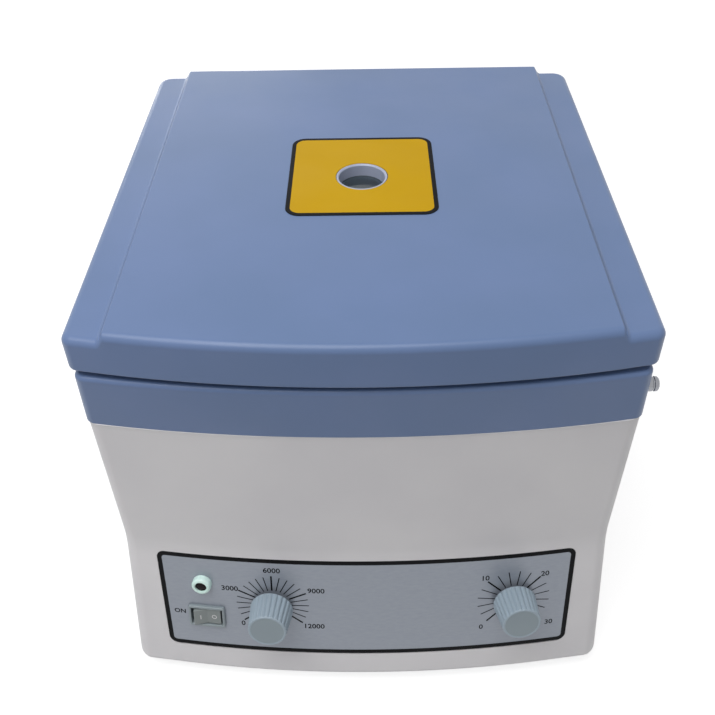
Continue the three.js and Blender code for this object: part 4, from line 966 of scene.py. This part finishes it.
def makeWindow():
    v = windowPiece
    r, low, high = v["radius"], v["glassTop"] - v["glass"], v["glassTop"]
    outer, ledge, edge, shelf = r + v["wall"], r - v["ledge"], r - v["gap"], low - v["gap"]
    sleeve = turned("windowSleeve", [
        (ledge, v["bottom"]), (outer, v["bottom"]), (outer, v["top"]), (r + v["chamfer"], v["top"]),
        (r, v["top"] - v["chamfer"]), (r, shelf), (ledge, shelf), (ledge, v["bottom"])],
        rounds=[((2,), 0.3, 3), ((6,), 0.4, 2)], place=rotorAxis)
    finishPiece(sleeve, "lid", "mouldedGreySleeve", ["window_sleeve"])
    glass = turned("windowGlass", [(0, low), (edge, low), (edge, high), (0, high)],
                   rounds=[((1, 2), 0.3, 2)], place=rotorAxis)
    finishPiece(glass, "lid", "clearAcrylicDisc", ["window_glass"])


def makeLabel():
    v = labelPiece
    y, wide, deep = windowY + v["shift"], v["wide"] / 2, v["deep"] / 2
    plate = block("lidLabel", (-wide, y - deep, v["bottom"]), (wide, y + deep, v["bottom"] + v["thickness"]))
    coat(plate, "screenedYellowPlate", "blackRingInk")
    shape(plate)
    roundEdges(plate, 2, v["corner"], 10)
    edgeRound(plate, 1, v["edge"], 2)
    pickAll()
    paint(1)
    pick(plate, "FACE", facing(2, 1))
    inset(v["border"])
    paint(0)
    cut(plate, rod("labelCut", v["hole"], *v["holeCut"], 96, rotorAxis))
    finishPiece(plate, "lid", None, ["lid_label"])


makeWindow()
makeLabel()

linerPiece = {
    "half": 136.1, "front": -121.92, "back": 153.48, "bow": 14.1, "bottom": 235.2, "thickness": 2.5,
    "frontCorner": 1.7, "backCorner": 5.7, "edge": 0.8,
    "ridge": (112.2, 118.2), "ridgeDrop": 1.3, "ridgeTop": 1.2, "hole": 14.7, "holeCut": (225, 245),
    "screw": 3.6, "screwHead": 1.1, "screwX": 85.5, "screwFromBack": 32.0,
}


def panHead(name, radius, height):
    # domed screw head with a cross recess, its underside at z = 0
    deep = height * 0.45
    head = turned(name, [(0, 0), (radius, 0), (radius, deep), (radius * 0.6, height * 0.92), (0, height)],
                  rounds=[((2,), height * 0.25, 3), ((3,), height * 0.3, 3)], sides=32)
    bars = [block("crossCut", (-radius * x, -radius * y, deep), (radius * x, radius * y, height * 2))
            for x, y in ((0.55, 0.13), (0.13, 0.55))]
    cut(head, *bars)
    return head


def makeLiner():
    v = linerPiece
    obj = raised("lidLiner", v, [v["thickness"]])
    roundEdges(obj, 2, v["frontCorner"], 4, lambda mid: abs(mid.x) > v["half"] - 1 and mid.y < 0)
    roundEdges(obj, 2, v["backCorner"], 6, lambda mid: mid.y > v["back"] - 1)
    edgeRound(obj, -1, v["edge"], 3)
    inner, outer = v["ridge"]
    low, high = v["bottom"] - v["ridgeDrop"], v["bottom"] + v["ridgeTop"]
    combine(obj, "UNION", turned("linerRidge", ring(inner, outer, low, high),
                                 rounds=[((0, 1), 0.5, 3)], sides=144, place=rotorAxis))
    cut(obj, rod("linerCut", v["hole"], *v["holeCut"], 96, rotorAxis))
    finishPiece(obj, "lid", "vacuumFormedLiner", ["lid_liner"])
    reach = lidShell["back"] - v["screwFromBack"]
    flip = Matrix.Rotation(math.pi, 4, "X")
    screw = panHead("linerScrew", v["screw"], v["screwHead"])
    for tag, side in leftRight:
        for row, y in (("Back", reach), ("Front", 2 * windowY - reach)):
            head = copyOf(screw, "linerScrew" + row + tag, shift(side * v["screwX"], y, v["bottom"]) @ flip)
            finishPiece(head, "lid", "chromePlatedSteel")
    remove(screw)


makeLiner()
print("window, label and liner are made")

hingePiece = {
    "x": 85.0, "y": 160.58, "z": 232.6, "wide": 45.0, "knuckle": 3.2, "knuckles": 5, "gap": 0.3,
    "pin": 1.5, "pinEdge": 0.4, "plate": 1.5, "plateHeight": 11.0, "clearance": 0.6, "corner": 1.6,
    "edge": 0.25, "screw": 2.4, "screwHead": 1.0, "screwX": 15, "screwUp": 0.8, "screwSunk": 0.05,
}


def makeHingeLeaf(name, up, back):
    # up is 1 for the lid's leaf and -1 for the body's; its middle is at x = 0
    v = hingePiece
    left = -v["wide"] / 2
    pitch = v["wide"] / v["knuckles"]
    near, far = back + v["gap"], back + v["gap"] + v["plate"]
    low = v["knuckle"] + v["clearance"]
    span = lambda a, b: (v["z"] + a, v["z"] + b) if up > 0 else (v["z"] - b, v["z"] - a)
    z0, z1 = span(low, low + v["plateHeight"])
    leaf = block(name, (left, near, z0), (left + v["wide"], far, z1))
    shape(leaf)
    outerZ = z1 if up > 0 else z0
    roundEdges(leaf, 1, v["corner"], 4, lambda mid: abs(mid.z - outerZ) < 0.1)
    roundRim(leaf, facing(1, 1), v["edge"], 2)
    axis = shift(0, v["y"], v["z"]) @ zToX
    for i in range(1 if up > 0 else 0, v["knuckles"], 2):
        a, b = left + i * pitch + v["gap"] / 2, left + (i + 1) * pitch - v["gap"] / 2
        w0, w1 = span(0, low + v["plate"])
        combine(leaf, "UNION", rod("barrel", v["knuckle"], a, b, 32, axis),
                block("web", (a, near, w0), (b, far, w1)))
    cut(leaf, rod("bore", v["pin"] + v["gap"], left - 2, left + v["wide"] + 2, 32, axis))
    return leaf, far, (z0 + z1) / 2 + v["screwUp"] * up


def makeHinges():
    v = hingePiece
    toBack = Matrix.Rotation(-math.pi / 2, 4, "X")
    screw = panHead("hingeScrew", v["screw"], v["screwHead"])
    for word, body, up, shell in (("lid", "lid", 1, lidShell), ("body", "base", -1, deckShell)):
        leaf, far, screwZ = makeHingeLeaf(word + "Hinge", up, shell["back"])
        for tag, side in leftRight:
            piece = copyOf(leaf, word + "Hinge" + tag, shift(side * v["x"]))
            finishPiece(piece, body, "brushedSteelSheet", [word + "_hinge_" + tag.lower()])
            for letter, way in (("A", -1), ("B", 1)):
                place = shift(side * v["x"] + way * v["screwX"], far - v["screwSunk"], screwZ) @ toBack
                head = copyOf(screw, piece.name + "Screw" + letter, place)
                finishPiece(head, body, "chromePlatedSteel")
        remove(leaf)
    half = v["wide"] / 2
    pin = turned("hingePin", [(0, -half), (v["pin"], -half), (v["pin"], half), (0, half)],
                 rounds=[((1, 2), v["pinEdge"], 3)], sides=32)
    for tag, side in leftRight:
        piece = copyOf(pin, "hingePin" + tag, shift(side * v["x"], v["y"], v["z"]) @ zToX)
        finishPiece(piece, "base", "chromePlatedSteel", ["hinge_pin_" + tag.lower()])
    remove(screw, pin)


makeHinges()
print("hinges are made")


# Lock pin and keeper

pinPiece = {
    "radius": 3.8, "tip": 2.0, "chamfer": 0.9, "headLength": 14.6,
    "groove": 0.35, "grooveAt": (3.4, 3.1, 2.6, 2.3),  # back from the end of the head
}
keeperPiece = {"plate": 2.0, "footRound": 2.5, "tipRound": 1.5, "hole": 2.6, "holeCut": (-6, 4)}


def makeLockPin():
    v = pinPiece
    low, high = [corner.x for corner in boxOf("lock_pin")]
    step, edge = high - v["headLength"], v["chamfer"]
    r, inner = v["radius"], v["radius"] - v["groove"]
    groove = [(radius, high - back) for radius, back in zip((r, inner, inner, r), v["grooveAt"])]
    pin = turned("lockPin", [
        (0, low), (v["tip"], low), (v["tip"], step), (r, step), *groove, (r, high - edge), (r - edge, high),
        (0, high)],
        rounds=[((1,), 0.5, 3), ((3,), 0.4, 2), ((8, 9), 0.35, 3)], sides=64, place=pinAxis)
    finishPiece(pin, "lock_pin", "chromePlatedSteel", ["lock_pin"])


def makeKeeper():  # a strip under the lid, bent over at its top
    v = keeperPiece
    low, high = boxOf("lid_keeper")
    back, bend = high.x - v["plate"], high.z - v["plate"]
    tongue = block("lidKeeper", (back, low.y, low.z), high)
    shape(tongue)
    bisect(2, bend)
    pick(tongue, "FACE", lambda mid, normal: normal.x < -0.9 and mid.z > bend)
    extrude(x=low.x - back)
    roundEdges(tongue, 0, v["footRound"], 5, lambda mid: mid.z < low.z + 0.5)
    roundEdges(tongue, 2, v["tipRound"], 4, lambda mid: mid.x < low.x + 0.1)
    left, right = v["holeCut"]
    cut(tongue, rod("keeperHole", v["hole"], high.x + left, high.x + right, 40, pinAxis))
    finishPiece(tongue, "lid", "brushedSteelSheet", ["lid_keeper"])


makeLockPin()
makeKeeper()
print("lock pin and keeper are made")


# Chamber and rotor

chamberPiece = {
    "radius": 111.0, "wall": 1.2, "corner": 8.0, "hole": 14.0, "floor": 179.3,
    "flange": 8.0, "flangeBottom": 229.1,
    "gasket": ((6.0, -1.4), (3.0, -0.6), (1.2, 0), (0, -0.8)),  # out from the bowl, down from its top
}


def makeChamber():
    v = chamberPiece
    r, w, corner, hole, floor = v["radius"], v["wall"], v["corner"], v["hole"], v["floor"]
    out, rim, under, top = r + w, r + w + v["flange"], v["flangeBottom"], v["flangeBottom"] + w
    bowl = turned("chamberBowl", [
        (hole, floor - w), (out, floor - w), (out, under), (rim, under), (rim, top), (r, top), (r, floor),
        (hole, floor), (hole, floor - w)],
        rounds=[((1,), corner + w, 8), ((6,), corner, 8), ((5,), 1.0, 4), ((4,), 0.4, 2)],
        sides=144, place=rotorAxis)
    finishPiece(bowl, "base", "spunStainlessSteel", ["chamber_bowl"])
    low, high = boxOf("chamber_gasket")
    crown = [(out + x, high.z + z) for x, z in v["gasket"]]
    gasket = turned("chamberGasket", [(out, low.z), (crown[0][0], low.z), *crown, (out, low.z)],
                    rounds=[((2, 3, 5), 0.5, 3), ((4,), 0.6, 3)], sides=144, place=rotorAxis)
    finishPiece(gasket, "base", "siliconeGasket", ["chamber_gasket"], 50)


rotorPiece = {
    "radius": 100.0, "bottom": 192.3, "plate": 9.0, "foot": (6.0, 3.0), "rim": 4.0, "rimWall": 5.0,
    "channelWidth": 2.0, "channelDepth": 2.4, "hub": 12.0, "hubRise": 3.0, "hubBore": 5.4,
    "slots": 24, "slotWidth": 2.2, "slotDepth": 2.2, "slotStart": 17.0, "gasketGap": 0.15,
}
coverPiece = {
    "bore": 5.6, "radius": 90,
    "grooves": ((62, 0), (60.5, -0.5), (58, -0.5), (56.5, 0), (24, 0), (22.8, -0.4), (21, -0.4), (19.8, 0)),
}
nutPiece = {
    "radius": 13, "points": 120, "every": 3, "flute": 0.955, "fluteEnds": (1.5, 2.0), "topRound": 1.1,
    "footRound": 0.4, "rim": 2.2, "rimSlope": 0.5, "sink": 0.6, "bore": 5.6, "boreCut": (-2, 10),
}


def makeRotor():
    v = rotorPiece
    bottom, r, bore = v["bottom"], v["radius"], v["hubBore"]
    top = bottom + v["plate"]
    rim, wallIn, floor = top + v["rim"], r - v["rimWall"], top - v["channelDepth"]
    channelIn, hub, hubTop = wallIn - v["channelWidth"], v["hub"], top + v["hubRise"]
    inward, up = v["foot"]
    disc = turned("rotorDisc", [
        (bore, bottom), (r - inward, bottom), (r, bottom + up), (r, rim), (wallIn, rim), (wallIn, floor),
        (channelIn, floor), (channelIn, top), (hub, top), (hub, hubTop), (bore, hubTop), (bore, bottom)],
        rounds=[((1, 2), 1.5, 4), ((3,), 1.2, 4), ((4,), 0.6, 3), ((9, 10), 0.5, 2)],
        sides=192, place=rotorAxis)
    half, low = v["slotWidth"] / 2, top - v["slotDepth"]
    slot = block("slotCut", (v["slotStart"], -half, low), (channelIn + 1, half, top + 1), rotorAxis)
    shape(slot)
    pickAll()
    bpy.ops.mesh.spin(steps=v["slots"], angle=2 * math.pi, dupli=True, axis=(0, 0, 1),
                      center=(0, windowY * mm, 0))
    mergeClose()
    cut(disc, slot)
    finishPiece(disc, "rotor", "machinedAluminium", ["rotor_disc"])
    low, high = boxOf("rotor_gasket")
    gap = v["gasketGap"]
    gasket = turned("rotorGasket", ring(channelIn + gap, wallIn - gap, low.z, high.z),
                    rounds=[((2, 3), 0.5, 3)], sides=144, place=rotorAxis)
    finishPiece(gasket, "rotor", "siliconeGasket", ["rotor_gasket"], 50)


def makeCover():
    v = coverPiece
    low, high = boxOf("rotor_cover")
    bore, r = v["bore"], v["radius"]
    grooves = [(x, high.z + z) for x, z in v["grooves"]]
    cover = turned("rotorCover", [
        (bore, low.z), (r, low.z), (r, high.z), *grooves, (bore, high.z), (bore, low.z)],
        rounds=[((1, 2), 0.45, 3)], sides=144, place=rotorAxis)
    finishPiece(cover, "rotor_cover", "machinedAluminium", ["rotor_cover"])


def makeNut():
    v = nutPiece
    low, high = [corner.z for corner in boxOf("rotor_nut")]
    nut = rod("rotorNut", v["radius"], low, high, v["points"])
    shape(nut)
    skirt, collar = v["fluteEnds"]
    bisect(2, low + skirt)
    bisect(2, high - collar)
    step = 2 * math.pi / v["points"]
    pick(nut, "VERT", lambda co: round(math.atan2(co.y, co.x) / step) % v["every"] == 0
         and low + 1 < co.z < high - 1)
    resize(v["flute"], v["flute"])
    edgeRound(nut, 1, v["topRound"], 4)
    edgeRound(nut, -1, v["footRound"], 2)
    pick(nut, "FACE", facing(2, 1, lambda mid: mid.z > high - 0.1))
    inset(v["rim"])
    inset(v["rimSlope"])
    move(z=-v["sink"])
    settle(nut, rotorAxis)
    bottom, top = v["boreCut"]
    cut(nut, rod("nutBore", v["bore"], low + bottom, low + top, 40, rotorAxis))
    finishPiece(nut, "rotor_nut", "machinedAluminium", ["rotor_nut"])


makeChamber()
makeRotor()
makeCover()
makeNut()
print("chamber and rotor are made")


# Back and underside

inletPiece = {
    "flange": 2.5, "corner": 3.0, "edge": 0.8, "body": (28.0, 40.0), "bodyZ": 82,
    "socket": (23.0, 16.0), "socketDepth": 16.0, "socketCorner": 4.0, "socketZ": 88.0,
    "blade": (2.0, 4.0, 11.0), "bladeRoot": 0.5, "bladeRound": 0.5, "bladePitch": 7.0, "bladeDrop": 2.0,
    "drawerGap": 0.4, "drawerEdge": 0.4, "grip": 1.2, "gripEdge": 0.35, "gripInset": 2.4,
}


def makeInlet():
    v = inletPiece
    low, high = boxOf("power_inlet")
    drawerLow, drawerHigh = boxOf("fuse_drawer")
    x, face = (low.x + high.x) / 2, high.y
    root = face - v["flange"]
    back = facing(1, 1)
    inlet = block("powerInlet", (low.x, root, low.z), high)
    shape(inlet)
    roundEdges(inlet, 1, v["corner"], 5)
    roundRim(inlet, back, v["edge"], 3)
    wide, tall = [size / 2 for size in v["body"]]
    z = v["bodyZ"]
    combine(inlet, "UNION", block("inletBody", (x - wide, low.y, z - tall), (x + wide, root + 0.5, z + tall)))
    wide, tall = [size / 2 for size in v["socket"]]
    z, floor, gap = v["socketZ"], face - v["socketDepth"], v["drawerGap"]
    socket = block("socketCut", (x - wide, floor, z - tall), (x + wide, face + 2, z + tall))
    shape(socket)
    roundEdges(socket, 1, v["socketCorner"], 5, lambda mid: mid.z > z)
    cut(inlet, socket, block("drawerCut", (drawerLow.x - gap, drawerLow.y - 1, drawerLow.z - gap),
                             (drawerHigh.x + gap, face + 3, drawerHigh.z + gap)))
    finishPiece(inlet, "base", "mouldedBlackPlastic", ["power_inlet"])
    wide, tall, long = v["blade"]
    blade = block("inletBlade", (-wide / 2, -v["bladeRoot"], -tall / 2), (wide / 2, long, tall / 2))
    shape(blade)
    roundRim(blade, back, v["bladeRound"], 3)
    for i, tag in ((-1, "Left"), (0, "Middle"), (1, "Right")):
        up = v["bladeDrop"] if i == 0 else -v["bladeDrop"]
        place = shift(x + i * v["bladePitch"], floor, z + up)
        finishPiece(copyOf(blade, "inletBlade" + tag, place), "base", "platedBrass")
    remove(blade)
    drawer = block("fuseDrawer", drawerLow, (drawerHigh.x, drawerHigh.y - v["grip"], drawerHigh.z))
    shape(drawer)
    roundRim(drawer, back, v["drawerEdge"], 2)
    pick(drawer, "FACE", back)
    inset(v["gripInset"])
    extrude(y=v["grip"])
    bpy.ops.mesh.region_to_loop()
    bevel(v["gripEdge"], 2)
    finishPiece(drawer, "fuse_drawer", "mouldedBlackPlastic", ["fuse_drawer"])


makeInlet()

footPiece = {
    "radius": 11.0, "taper": 0.86, "height": 8.7, "bore": 2.4, "counterbore": 5.2, "counterDepth": 5.0,
}
footSpots = [(row, side) for row in ("front", "rear") for side in ("left", "right")]


def makeFeet():
    v = footPiece
    r, bore, wide, deep, top = v["radius"], v["bore"], v["counterbore"], v["counterDepth"], v["height"]
    foot = turned("foot", [
        (bore, deep), (wide, deep), (wide, 0), (r * v["taper"], 0), (r, top), (bore, top), (bore, deep)],
        rounds=[((2,), 0.5, 3), ((3,), 1.0, 4), ((4,), 0.6, 3)], sides=64)
    for row, side in footSpots:
        node = f"foot_{row}_{side}"
        piece = copyOf(foot, "foot" + row.title() + side.title(), shift(*centreOf(node)[:2]))
        finishPiece(piece, "base", "mouldedBlackRubber", [node], 45)
    remove(foot)


makeFeet()
print("inlet, fuse drawer and feet are made")


# Finishes of the solids that stay

carriedOver = {
    "galvanisedSteel": ["base_plate", "motor_plate", "motor_can", "lower_end_bell", "upper_end_bell"],
    "chromePlatedSteel": ["motor_shaft", "speed_shaft", "timer_shaft", "lower_bearing", "upper_bearing",
                          "lock_bush"] + [f"foot_screw_{row}_{side}" for row, side in footSpots],
    "enamelledCopperWire": ["armature", "field_ring"],
    "mouldedBlackPlastic": ["brush_left", "brush_right", "speed_control"],
    "brushedSteelSheet": ["timer_movement"],
    "mouldedBlackRubber": ["rubber_mount_1", "rubber_mount_2", "rubber_mount_3"],
    "boardLaminate": ["control_board"],
}
for finish, nodes in carriedOver.items():
    for node in nodes:
        coat(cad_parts[node], finish)

atRest()
